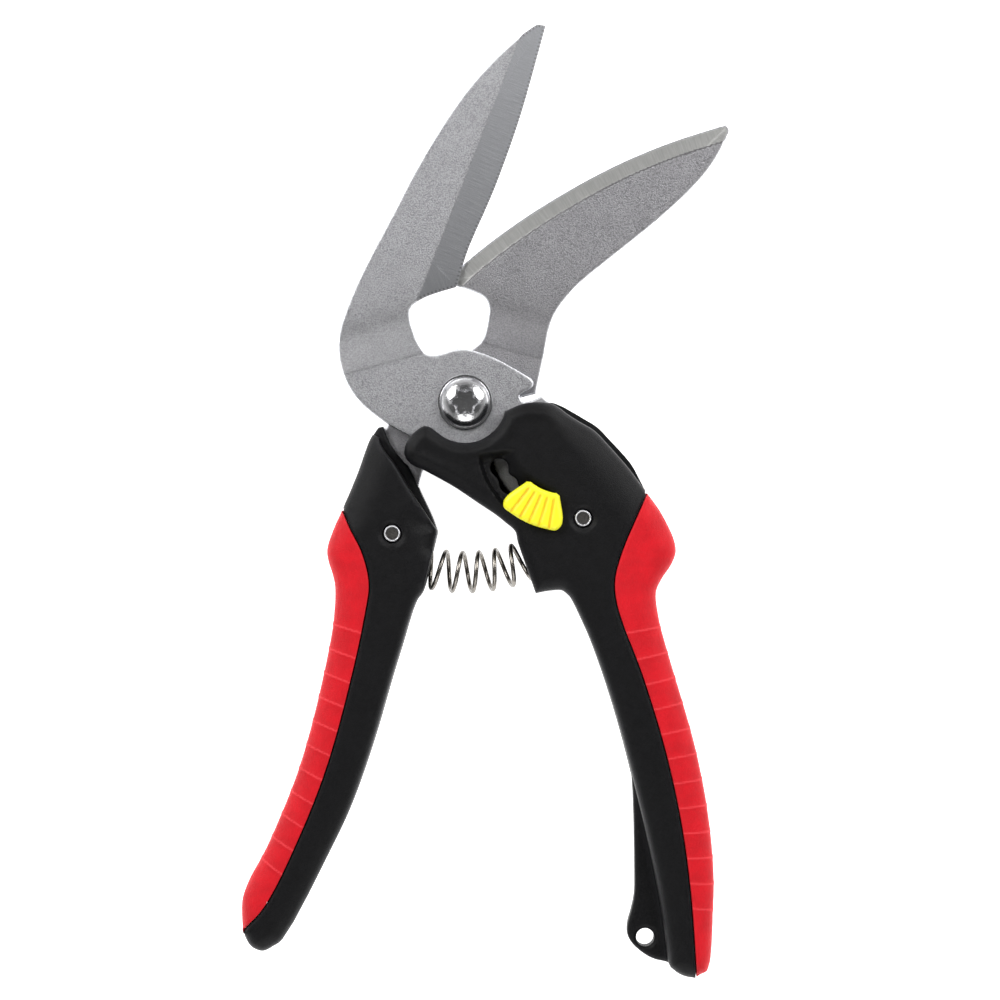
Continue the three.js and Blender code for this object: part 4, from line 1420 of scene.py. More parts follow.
@dataclass
class RightHandle(Handle):
    """The fixed handle: pivot cut-out, lock recess, shoulder and the tab with the hanging hole."""
    side: str = "right"
    body: Body = Body.RIGHT
    front_cuts: tuple[float, ...] = (8.3, 10.85, 12.4, 13.35)
    least_wall: float = 0.8
    lip_height: float = 0.22
    shoulder_width: float = 8.5
    shoulder_drop: float = 3.6
    recess_depth: float = 1.9
    slot_reach: float = 14.4
    slot_room: float = 2.4
    slot_half: float = 1.62
    slot_swell: float = 0.28
    slot_pitch: float = 16.4
    slot_low: float = 24.0
    slot_high: float = 69.0
    tab_front_level: float = 9.0
    tab_back_level: float = 7.0
    tab_zone: float = -72.0            # the web's free edge lies below this y
    tab_top: float = -74.0
    tab_half: float = 2.1
    crease_down: tuple[float, ...] = (72, 83.4, 93.5, 104.3, 113.8, 121)
    crease_across: tuple[float, ...] = (34, 36.4, 38.6, 40.9, 42.1, 43.4)
    tab_tuck: float = 3.0              # how far the web reaches past the handle's own edge

    def __post_init__(self) -> None:
        """Adds the lock's pivot."""
        super().__post_init__()
        self.lock_pivot = joint_centre("lock_swing")

    def lock_polar(self, points: Points) -> tuple[np.ndarray, np.ndarray]:
        """Distance from the lock's pivot and the angle in degrees from straight down to the blades."""
        away = self.lock_pivot - points
        return np.linalg.norm(away, axis=1), np.degrees(np.arctan2(away[:, 0], away[:, 1]))

    def recess(self, points: Points) -> np.ndarray:
        """Fan-shaped recess round the slot, with a firm outer wall and a soft inner side.

        Args:
            points: an array of x, y pairs.

        Returns:
            1 in the recess, 0 beside it.
        """
        radius, angle = self.lock_polar(points)
        outer = 1 - smoothstep(radius, 17.3, 18.3)
        inner = smoothstep(radius, 9.4, 13.2)
        ends = smoothstep(angle, 4, 26) * (1 - smoothstep(angle, 76, 84))
        return outer * inner * ends

    def slot_loop(self) -> Points:
        """The stem's slot: an arc about the lock's pivot whose half width swells at each resting
        place, closed by a half circle at both ends.

        Returns:
            Points of its loop.
        """
        angle = np.linspace(self.slot_low, self.slot_high, 46)
        half = self.slot_half + self.slot_swell * np.cos(2 * math.pi * (self.slot_high - angle)
                                                         / self.slot_pitch)
        turn = np.radians(angle)
        way = -np.stack([np.sin(turn), np.cos(turn)], axis=1)
        outer = self.lock_pivot + (self.slot_reach + half)[:, None] * way
        inner = self.lock_pivot + (self.slot_reach - half)[:, None] * way
        sweep = np.linspace(0, math.pi, 14)[1:-1]

        def cap(index: int, forward: float) -> Points:
            """Half circle round one end, from the outer wall to the inner one.

            Args:
                index: which end of the slot.
                forward: 1 to bulge onwards, -1 to bulge back.

            Returns:
                Points of the half circle without its ends.
            """
            ahead = forward * np.array([-math.cos(turn[index]), math.sin(turn[index])])
            centre = self.lock_pivot + self.slot_reach * way[index]
            return centre + half[index] * (np.cos(sweep)[:, None] * way[index]
                                           + np.sin(sweep)[:, None] * ahead)

        return np.concatenate([outer, cap(-1, 1.0), inner[::-1], cap(0, -1.0)[::-1]])

    def on_slot(self, edges: Outline) -> np.ndarray:
        """True for edges of the lock's slot."""
        radius, angle = self.lock_polar(edges.middles())
        return (np.abs(radius - self.slot_reach) < self.slot_room) & (angle > 15) & (angle < 78)

    def shoulder(self, points: Points) -> np.ndarray:
        """1 beside the upper right edge, where the face slopes off widely."""
        x, y = points.T
        return smoothstep(x + 0.25 * y, 12, 26) * smoothstep(y, -40, -22)

    def face(self, outer: Outline, points: Points) -> np.ndarray:
        """Fall of a face: rounding, wide shoulder and a soft raised lip round the pivot.

        Args:
            outer: the handle's outer edges.
            points: an array of x, y pairs.

        Returns:
            The fall, a little below 0 on the lip.
        """
        distance = outer.distance(points)
        share = self.shoulder(points)
        width = self.edge_width + (self.shoulder_width - self.edge_width) * share
        drop = self.edge_drop + (self.shoulder_drop - self.edge_drop) * share
        lip = smoothstep(points[:, 1], -18, -10) * (1 - 0.8 * share)
        width, drop = width - 1.0 * lip, drop - 0.7 * lip
        return crowned(distance, width, drop) - self.lip_height * lip * bump(distance, 2.3, 0.9)

    def front_piece(self, shop: Workshop) -> None:
        """Front casing with recess, slot and rivet dish, and the web of the tab behind it.

        Args:
            shop: the workshop.
        """
        outer, sides = self.casing_sides(self.front_free.only(~self.on_slot(self.front_free)),
                                         self.front_seam)
        slot = Outline.closed([self.slot_loop()])
        sides.insert(2, Side(slot, self.hole_inset))
        body = self.front.only(~self.on_slot(self.front)).plus(slot)

        def upper(points: Points) -> np.ndarray:
            """Height of the front face.

            Args:
                points: an array of x, y pairs.

            Returns:
                The height of each point.
            """
            seam = self.groove(self.front_seam, points)
            dip = np.maximum(self.recess_depth * self.recess(points), self.dish(points))
            eased = crowned(slot.distance(points), 0.45, 0.4)
            return self.top - self.face(outer, points) - seam - dip - eased

        def lower(points: Points) -> np.ndarray:
            """Height of the inside: flat at the split, with the tang's, lever's and spring's rooms."""
            inner = self.levels(self.front_name, self.front_cuts, points, self.split_front)
            return np.minimum(inner, upper(points) - self.least_wall)

        shell = Shell(body, sides, upper, lower, cell=0.34)
        web = self.tab(self.front_name, self.tab_front_level, self.split_front)
        piece = make_piece("right_front_cover", *merged([shell.arrays(), web]))
        set_attribute(piece, "edge", outer.distance(flat_points(piece)))
        shop.fit(piece, "black", self.body, Slot.BLACK, self.front_name)

    def back_extras(self) -> list[tuple]:
        """The back half of the tab's web."""
        return [self.tab(self.back_name, self.tab_back_level, self.split_back)]

    def tab(self, node: str, level: float, split: float) -> tuple:
        """Half of the web with the hanging hole, tucked under the casing's edge.

        Args:
            node: the CAD casing that the web belongs to.
            level: height at which its outline is cut.
            split: height where that casing meets the other.

        Returns:
            Vertices, triangles and four-sided faces of the closed half.
        """
        web = section(node, level)
        edges = web.only(web.middles()[:, 1] < self.tab_zone)
        outwards = 1 if level > split else -1
        limit = centre_mm(self.grip_name)[2] + self.tab_half * outwards

        def outer_face(points: Points) -> np.ndarray:
            """Height of the web's visible face, rounded at its edge."""
            return limit - outwards * crowned(edges.distance(points), 1.0, 0.8)

        def flat(points: Points) -> np.ndarray:
            """Height of the split."""
            return np.full(len(points), split)

        upper, lower = (outer_face, flat) if outwards > 0 else (flat, outer_face)
        return Web(web, [Side(edges, 0.2)], upper, lower, cell=0.4, bounds=self.tab_bounds).arrays()

    def tab_bounds(self, points: Points) -> np.ndarray:
        """Distance to the web's straight cuts: its upper end, and a line inside the handle's edge.

        Args:
            points: an array of x, y pairs.

        Returns:
            The smaller distance, negative past a cut.
        """
        x, y = points.T
        crease = np.interp(-y, self.crease_down, self.crease_across)
        return np.minimum(self.tab_top - y, crease + self.tab_tuck - x)


@dataclass
class LeftHandle(Handle):
    """The moving handle: its front casing has a low ledge that passes under the right handle."""
    side: str = "left"
    body: Body = Body.LEFT
    rib_count: int = 11
    rib_first: tuple[float, float] = (-21.3, -48.6)
    rib_last: tuple[float, float] = (-38.5, -98.8)
    rib_skew: float = 0.14
    flank_width: float = 7.0
    flank_drop: float = 3.6
    ledge_level: float = 9.0
    ledge_top: float = 10.2
    cup_radius: float = 5.0
    cup_axis: float = 8.0
    cup_roof: float = 13.2

    def cup(self, points: Points) -> np.ndarray:
        """Half height of the round spring cup over each point, 0 beside it.

        The cup's axis follows the coil's arc, so the sideways distance is measured from that circle.
        """
        aside = np.abs(np.linalg.norm(points, axis=1) - SPRING_ARC)
        return np.sqrt(np.clip(self.cup_radius ** 2 - aside ** 2, 0, None))

    def flank(self, points: Points) -> np.ndarray:
        """1 beside the upper outer edge, where the face slopes off widely."""
        x, y = points.T
        return smoothstep(y, -34, -24) * (1 - smoothstep(x + 0.45 * (y + 5), -20, -12))

    def face(self, outer: Outline, points: Points) -> np.ndarray:
        """Fall of a face: rounding, wider at the upper outer side.

        Args:
            outer: the handle's outer edges.
            points: an array of x, y pairs.

        Returns:
            The fall.
        """
        share = self.flank(points)
        width = self.edge_width + (self.flank_width - self.edge_width) * share
        drop = self.edge_drop + (self.flank_drop - self.edge_drop) * share
        return crowned(outer.distance(points), width, drop)

    def front_piece(self, shop: Workshop) -> None:
        """Tall part with the rivet's dish, and the low ledge under it.

        Args:
            shop: the workshop.
        """
        free = self.front_free
        hole = self.holes(free)
        ledge = section(self.front_name, self.ledge_level)
        on_ridge = ledge.distance(free.middles()) > 0.4
        ridge, plain = free.only(~hole & on_ridge), free.only(~hole & ~on_ridge)
        outer = self.outer(plain)
        sides = [Side(plain, self.free_inset), Side(ridge, 0.25),
                 Side(free.only(hole), self.hole_inset), Side(self.front_seam, self.seam)]

        def upper(points: Points) -> np.ndarray:
            """Height of the tall part's face.

            Args:
                points: an array of x, y pairs.

            Returns:
                The height of each point.
            """
            ridge_fall = crowned(ridge.distance(points), 0.9, 0.7)
            fall = np.maximum(self.face(outer, points), ridge_fall)
            return self.top - fall - self.groove(self.front_seam, points) - self.dish(points)

        def tall_foot(points: Points) -> np.ndarray:
            """Underside of the tall part: just inside the ledge, or the roof of the spring cup.

            Args:
                points: an array of x, y pairs.

            Returns:
                The height of each point.
            """
            free_of_cup = Outline.closed(cut(self.front_name, self.ledge_level)).covers(points)
            roof = np.clip(self.cup_axis + self.cup(points), self.ledge_top - 0.1, self.cup_roof)
            return np.where(free_of_cup, self.ledge_top - 0.1, roof)

        def ledge_face(points: Points) -> np.ndarray:
            """Height of the ledge, with a small rounding at its edge."""
            return self.ledge_top - crowned(ledge.distance(points), 0.6, 0.45)

        def flat(points: Points) -> np.ndarray:
            """Height of the split."""
            return np.full(len(points), self.split_front)

        tall = Shell(self.front, sides, upper, tall_foot)
        base = Shell(ledge, [Side(ledge, 0.2)], ledge_face, flat)
        piece = make_piece("left_front_cover", *merged([tall.arrays(), base.arrays()]))
        points = flat_points(piece)
        set_attribute(piece, "edge", np.minimum(outer.distance(points), ridge.distance(points)))
        shop.fit(piece, "black", self.body, Slot.BLACK, self.front_name)


# ---- Blades ---------------------------------------------------------------------------------
@dataclass
class Blade:
    """A stamped blade, cranked forward between two bends."""
    node: str
    piece_name: str
    finish: str
    body: Body
    handle: str
    crank_angle: float
    crank_start: float
    crank_run: float = 7.2
    crank_rise: float = 4.5
    thickness: float = 2.35
    top_shift: float = 0.65            # the outer bend line lies this much nearer the pivot
    valley_radius: float = 0.7
    crest_radius: float = 3.0
    sharp_radius: float = 0.01         # bends of the CAD plate, which its outline is cut along
    cut_above: float = 0.25
    casing_level: float = 13.7
    least_edge: float = 0.15
    front_above: float = 0.3           # vertices this far above the back face count as front ones

    def __post_init__(self) -> None:
        """Cuts the outline just above the plate's lower face."""
        self.base = box_mm(self.node)[0][2]
        self.outline = section(self.node,
                               lambda p: self.bent(p, 0, self.sharp_radius) + self.cut_above)

    def bent(self, points: Points, shift: float, radius: float | None = None) -> np.ndarray:
        """Height of the plate's lower face: flat, a slope, flat again, with eased corners.

        Args:
            points: an array of x, y pairs.
            shift: how far both bend lines are moved towards the pivot.
            radius: easing of both corners, where it isn't the plate's own.

        Returns:
            The height of each point.
        """
        angle = math.radians(self.crank_angle)
        place = points[:, 0] * math.cos(angle) + points[:, 1] * math.sin(angle) + shift
        slope = self.crank_rise / self.crank_run
        low, high = (radius, radius) if radius else (self.valley_radius, self.crest_radius)
        rise = slope * (soft_ramp(place - self.crank_start, low)
                        - soft_ramp(place - self.crank_start - self.crank_run, high))
        return self.base + np.clip(rise, 0, self.crank_rise)

    def ground(self, points: Points) -> np.ndarray:
        """How much is ground off the front face; each blade has its own."""
        return np.zeros(len(points))

    def land(self, points: Points) -> np.ndarray:
        """1 on ground faces."""
        return np.zeros(len(points))

    def casing_shade(self, points: Points) -> np.ndarray:
        """1 under the front casing of the same half, where painted shade darkens the steel.

        Args:
            points: an array of x, y pairs.

        Returns:
            The share of each point.
        """
        casing = f"{self.handle}_front_casing"
        outer = Outline.closed([widest(cut(casing, self.casing_level))])
        return outer.covers(points) * smoothstep(outer.distance(points), 0.3, 1.5)

    def upper(self, points: Points) -> np.ndarray:
        """Height of the front face, rounded at the stamped edge.

        Args:
            points: an array of x, y pairs.

        Returns:
            The height of each point.
        """
        stamped = crowned(self.outline.distance(points), 0.45, 0.4) * (1 - self.land(points))
        full = self.bent(points, self.top_shift) + self.thickness
        least = self.lower_face(points) + self.least_edge
        return np.maximum(full - self.ground(points) - stamped, least)

    def lower_face(self, points: Points) -> np.ndarray:
        """Height of the back face."""
        return self.bent(points, 0)

    def lower(self, points: Points) -> np.ndarray:
        """Height of the back face with its edge eased."""
        return self.lower_face(points) + crowned(self.outline.distance(points), 0.25, 0.14)

    def build(self, shop: Workshop) -> None:
        """Makes the blade and stores what its finish reads.

        Args:
            shop: the workshop.
        """
        shell = Shell(self.outline, [Side(self.outline, 0.2)], self.upper, self.lower, cell=0.34,
                      fractions=(0.4, 0.75, 1.0))
        piece = make_piece(self.piece_name, *shell.arrays(), crease=28.0)
        points = flat_points(piece)
        distance, _, along = self.outline.nearest(points)
        set_attribute(piece, "edge", distance)
        set_attribute(piece, "along", along)
        front = vertex_places(piece)[:, 2] > self.lower_face(points) + self.front_above
        set_attribute(piece, "land", self.land(points) * front)
        # painted shade under the front casing, read by the finish
        set_attribute(piece, "casing_shade", self.casing_shade(points))
        shop.fit(piece, self.finish, self.body, Slot.BLADE, self.node)


@dataclass
class UpperBlade(Blade):
    """Front blade: its face is ground down towards the cutting edge beyond a long ridge."""
    ridge_start: tuple[float, float] = (-9.9, 21.6)
    ridge_end: tuple[float, float] = (11.0, 74.9)
    bevel_width: float = 6.5
    edge_left: float = 0.45
    ridge_way: tuple[float, float] = (0.364, 0.931)

    def past_ridge(self, points: Points) -> np.ndarray:
        """Distance beyond the ridge towards the cutting edge.

        Args:
            points: an array of x, y pairs.

        Returns:
            The distance, negative before the ridge.
        """
        start, end = np.array(self.ridge_start), np.array(self.ridge_end)
        along = (end - start) / np.linalg.norm(end - start)
        return (points - start) @ np.array([along[1], -along[0]])

    def ground(self, points: Points) -> np.ndarray:
        """A plane that starts at the ridge and leaves a thin edge."""
        slope = (self.thickness - self.edge_left) / self.bevel_width
        return np.maximum(self.past_ridge(points), 0) * slope * self.land(points)

    def land(self, points: Points) -> np.ndarray:
        """1 beyond the ridge, above the window."""
        ahead = (points - np.array(self.ridge_start)) @ np.array(self.ridge_way)
        return smoothstep(self.past_ridge(points), -0.05, 0.2) * smoothstep(ahead, -2.2, -1.2)


@dataclass
class LowerBlade(Blade):
    """Rear blade: a narrow ground strip runs along its cutting edge."""
    strip_width: float = 3.4
    strip_slope: float = 0.09
    strip_step: float = 0.1
    strip_fade: float = 0.25
    tip_way: tuple[float, float] = (0.69, 0.72)
    window_corner: tuple[float, float] = (-4.2, 25.2)
    corner_margin: float = 0.35
    cutting_from: float = 24.0

    def __post_init__(self) -> None:
        """Finds the cutting edge: the outline beyond a line from the window's corner to the tip."""
        super().__post_init__()
        middles = self.outline.middles()
        tip = self.outline.starts[(self.outline.starts @ np.array(self.tip_way)).argmax()]
        corner = np.array(self.window_corner)
        across = np.array([-(tip - corner)[1], (tip - corner)[0]])
        beyond = (middles - corner) @ (across / np.linalg.norm(across)) > -self.corner_margin
        self.cutting = self.outline.only(beyond & (middles[:, 1] > self.cutting_from))

    def land(self, points: Points) -> np.ndarray:
        """1 on the ground strip."""
        inner = self.strip_width - self.strip_fade
        return 1 - smoothstep(self.cutting.distance(points), inner, self.strip_width)

    def ground(self, points: Points) -> np.ndarray:
        """A shallow chamfer towards the cutting edge with a small step where it begins."""
        inward = (self.strip_width - self.cutting.distance(points)).clip(0)
        return self.land(points) * (self.strip_step + inward * self.strip_slope)


# ---- Hardware -------------------------------------------------------------------------------
def directions(count: int = 96) -> np.ndarray:
    """Angles of the vertices round one ring of a turned piece."""
    return np.arange(count) * 2 * math.pi / count


@dataclass
class Hardware:
    """Bolt, washer, nut, rivets and pins: turned pieces in the CAD parts' places."""
    lobes: int = 6
    lobe_depth: float = 0.13
    socket_radius: float = 2.8
    flange_thickness: float = 0.6
    head_height: float = 3.5
    shank_radius: float = 3.0
    rivet_radius: float = 1.75
    pin_radius: float = 1.6

    def bolt(self, shop: Workshop) -> None:
        """Domed bolt with a thin flange and a lobed socket.

        The socket's radius goes in and out with the cosine of six times the direction.

        Args:
            shop: the workshop.
        """
        low, high = box_mm("pivot_bolt")
        flange = high[0] - 0.05
        seat = high[2] - self.head_height
        dome = flange - 0.5
        lobe = np.cos(self.lobes * directions())
        socket = self.socket_radius * (1 - self.lobe_depth + self.lobe_depth * lobe)
        dome_top, rise = high[2], high[2] - seat - self.flange_thickness
        mouth = np.clip(dome_top - rise * (1 - np.sqrt(1 - ((socket + 0.35) / dome) ** 2)), 0, None)
        rings = [Ring(0.6, dome_top - 2.05), Ring(socket - 0.25, dome_top - 1.9),
                 Ring(socket, dome_top - 1.65), Ring(socket, float(mouth.mean()) - 0.3),
                 Ring(socket + 0.35, float(mouth.mean()))]
        spread = np.degrees(np.arcsin((self.socket_radius + 0.55) / dome))
        for tilt in np.radians(np.linspace(spread, 84, 14)):
            rings.append(Ring(dome * math.sin(tilt), dome_top - rise + rise * math.cos(tilt)))
        rings += [Ring(dome, seat + self.flange_thickness + 0.02), Ring(flange - 0.12, seat + 0.58),
                  Ring(flange, seat + 0.45), Ring(flange, seat + 0.1), Ring(flange - 0.1, seat),
                  Ring(self.shank_radius, seat), Ring(self.shank_radius, low[2] + 0.4),
                  Ring(self.shank_radius - 0.4, low[2])]
        piece = make_piece("bolt_domed", *turned(rings, (0.0, 0.0)), crease=30.0)
        shop.fit(piece, "bolt", Body.RIGHT, Slot.POLISHED, "pivot_bolt")

    def nut(self, shop: Workshop) -> None:
        """Hexagon nut, its corners chamfered on both faces.

        Args:
            shop: the workshop.
        """
        low, high = box_mm("pivot_nut")
        flat, hole = (high[1] - low[1]) / 2, self.shank_radius + 0.3
        sixth = math.pi / 3
        hexagon = flat / np.cos((directions() + sixth / 2 + sixth) % sixth - sixth / 2)
        round_face = np.minimum(hexagon, flat * 0.98)
        rings = [Ring(hole, high[2]), Ring(round_face, high[2]), Ring(hexagon, high[2] - 0.45),
                 Ring(hexagon, low[2] + 0.45), Ring(round_face, low[2]), Ring(hole + 0.3, low[2]),
                 Ring(hole, low[2] + 0.3)]
        piece = make_piece("nut_hexagon", *turned(rings, (0.0, 0.0), hollow=True), crease=20.0)
        shop.fit(piece, "plain", Body.RIGHT, Slot.PLAIN, "pivot_nut")

    def washer(self, shop: Workshop, node: str, name: str, hole: float, body: Body) -> None:
        """Flat washer with eased edges.

        Args:
            shop: the workshop.
            node: CAD washer.
            name: name of the piece.
            hole: inner radius.
            body: body it rides on.
        """
        low, high = box_mm(node)
        centre = (low + high)[:2] / 2
        outer = (high[0] - low[0]) / 2
        ease = 0.12
        rings = [Ring(hole + ease, high[2]), Ring(outer - ease, high[2]), Ring(outer, high[2] - ease),
                 Ring(outer, low[2] + ease), Ring(outer - ease, low[2]), Ring(hole + ease, low[2]),
                 Ring(hole, low[2] + ease), Ring(hole, high[2] - ease)]
        piece = make_piece(name, *turned(rings, centre, hollow=True), crease=30.0)
        shop.fit(piece, "plain", body, Slot.PLAIN, node)

    def rivet(self, shop: Workshop, side: str, body: Body) -> None:
        """Tubular rivet: a rolled rim with a painted highlight round a sunken face in front, a domed
        head behind.

        Args:
            shop: the workshop.
            side: handle it holds together.
            body: body it rides on.
        """
        node = f"{side}_rivet"
        low, high = box_mm(node)
        centre = (low + high)[:2] / 2
        radius, head = self.rivet_radius, (high[0] - low[0]) / 2
        top, foot = high[2], low[2]
        rings = [Ring(0.4, top - 0.42), Ring(1.2, top - 0.4), Ring(1.32, top - 0.28),
                 Ring(1.4, top - 0.06), Ring(1.5, top), Ring(1.62, top - 0.04), Ring(1.72, top - 0.18),
                 Ring(radius, top - 0.4), Ring(radius, foot + 1.0), Ring(head - 0.1, foot + 1.0),
                 Ring(head, foot + 0.85)]
        rings += [Ring(head * math.cos(t), foot + 0.75 - 0.75 * math.sin(t))
                  for t in np.radians(np.linspace(8, 80, 8))]
        piece = make_piece(f"{side}_rivet_turned", *turned(rings, centre, 64), crease=30.0)
        away = np.linalg.norm(flat_points(piece) - centre, axis=1)
        # where the finish paints a highlight on the rolled rim
        set_attribute(piece, "rim", smoothstep(away, 1.25, 1.4))
        shop.fit(piece, "rivet", body, Slot.BRIGHT, node)

    def pin(self, shop: Workshop, node: str, name: str, body: Body) -> None:
        """Plain round pin with chamfered ends.

        Args:
            shop: the workshop.
            node: CAD pin.
            name: name of the piece.
            body: body it rides on.
        """
        low, high = box_mm(node)
        radius = (high[0] - low[0]) / 2
        rings = [Ring(radius - 0.35, high[2]), Ring(radius - 0.1, high[2] - 0.12),
                 Ring(radius, high[2] - 0.35), Ring(radius, low[2] + 0.35),
                 Ring(radius - 0.1, low[2] + 0.12), Ring(radius - 0.35, low[2])]
        piece = make_piece(name, *turned(rings, (low + high)[:2] / 2, 48), crease=30.0)
        shop.fit(piece, "plain", body, Slot.PLAIN, node)

    def pivot_pin(self, shop: Workshop) -> None:
        """Headed pin that the lock lever turns on, peened at its foot.

        Args:
            shop: the workshop.
        """
        low, high = box_mm("lock_pivot_pin")
        centre, head, radius = (low + high)[:2] / 2, (high[0] - low[0]) / 2, self.pin_radius
        rings = [Ring(head - 0.5, high[2]), Ring(head - 0.1, high[2] - 0.15), Ring(head, high[2] - 0.4),
                 Ring(head, high[2] - 0.8), Ring(radius, high[2] - 0.8), Ring(radius, low[2] + 1.2),
                 Ring(head, low[2] + 1.2), Ring(head, low[2] + 0.4), Ring(head - 0.4, low[2])]
        piece = make_piece("lock_pivot_pin_turned", *turned(rings, centre, 48), crease=30.0)
        shop.fit(piece, "plain", Body.RIGHT, Slot.PLAIN, "lock_pivot_pin")

    def build(self, shop: Workshop) -> None:
        """Makes every turned piece.

        Args:
            shop: the workshop.
        """
        self.bolt(shop)
        self.nut(shop)
        self.washer(shop, "pivot_wave_washer", "wave_washer_ring", 3.3, Body.RIGHT)
        for side, body in (("right", Body.RIGHT), ("left", Body.LEFT)):
            self.rivet(shop, side, body)
            self.washer(shop, f"{side}_rivet_washer", f"{side}_rivet_ring", 2.05, body)
        self.pin(shop, "latch_pin", "latch_pin_turned", Body.LOCK)
        self.pin(shop, "lock_stem", "lock_stem_turned", Body.LOCK)
        self.pivot_pin(shop)


# ---- Lock and spring ------------------------------------------------------------------------
@dataclass
class Lock:
    """Thumb button with five finger grooves, on a stamped lever."""
    grooves: int = 5
    groove_depth: float = 0.42
    groove_width: float = 0.34
    groove_share: float = 0.6          # part of the fan's sweep between the outermost grooves
    foot_level: float = 15.0
    fan_level: float = 17.4
    fan_height: float = 2.2

    def button(self, shop: Workshop) -> None:
        """Fan with rounded edges; its grooves run straight to the lock's pivot.

        Args:
            shop: the workshop.
        """
        low, high = box_mm("lock_button")
        pivot = joint_centre("lock_swing")
        fan = Outline.closed([smoothed(widest(cut("lock_button", self.fan_level)), corner=75.0)])
        foot = Outline.closed([smoothed(widest(cut("lock_button", self.foot_level)))])
        underside = high[2] - self.fan_height
        away = pivot - fan.middles()
        directions = np.degrees(np.arctan2(away[:, 0], away[:, 1]))
        span = directions.max() - directions.min()
        step = self.groove_share * span / (self.grooves - 1)
        first = directions.min() + (0.5 - self.groove_share / 2) * span

        def groove(points: Points) -> np.ndarray:
            """1 at the bottom of a groove: bells across the direction from the pivot.

            Args:
                points: an array of x, y pairs.

            Returns:
                The share of each point.
            """
            off = pivot - points
            reach = np.linalg.norm(off, axis=1)
            angle = np.degrees(np.arctan2(off[:, 0], off[:, 1]))
            number = np.clip(np.round((angle - first) / step), 0, self.grooves - 1)
            aside = np.radians(angle - first - number * step) * reach
            ends = smoothstep(reach, 11.2, 12.4) * (1 - smoothstep(reach, 17.8, 18.8))
            return bump(aside, 0, self.groove_width) * ends

        def upper(points: Points) -> np.ndarray:
            """Height of the button's face."""
            rounding = crowned(fan.distance(points), 1.1, 1.0)
            return high[2] - rounding - self.groove_depth * groove(points)

        def lower(points: Points) -> np.ndarray:
            """Height of the button's underside."""
            return underside + crowned(fan.distance(points), 0.5, 0.4)

        def flat(height: float) -> Height:
            """A level face."""
            return lambda points: np.full(len(points), height)

        top = Shell(fan, [Side(fan, 0.6)], upper, lower, cell=0.2, corner_reach=0)
        peg = Shell(foot, [Side(foot, 0.1)], flat(underside + 0.3), flat(low[2]), cell=0.4)
        piece = make_piece("lock_button_fan", *merged([top.arrays(), peg.arrays()]))
        # the finish paints shade in the grooves
        set_attribute(piece, "groove", groove(flat_points(piece)))
        shop.fit(piece, "yellow", Body.LOCK, Slot.YELLOW, "lock_button")

    def lever(self, shop: Workshop) -> None:
        """Stamped lever plate with eased edges.

        Args:
            shop: the workshop.
        """
        low, high = box_mm("lock_lever")
        outline = section("lock_lever", (low[2] + high[2]) / 2)

        def upper(points: Points) -> np.ndarray:
            """Height of the front face."""
            return high[2] - crowned(outline.distance(points), 0.3, 0.2)

        def lower(points: Points) -> np.ndarray:
            """Height of the back face."""
            return low[2] + crowned(outline.distance(points), 0.2, 0.1)

        shell = Shell(outline, [Side(outline, 0.1)], upper, lower, fractions=(0.5, 1.0))
        piece = make_piece("lock_lever_plate", *shell.arrays())
        shop.fit(piece, "lever", Body.LOCK, Slot.PLAIN, "lock_lever")

    def build(self, shop: Workshop) -> None:
        """Makes the button and its lever."""
        self.button(shop)
        self.lever(shop)


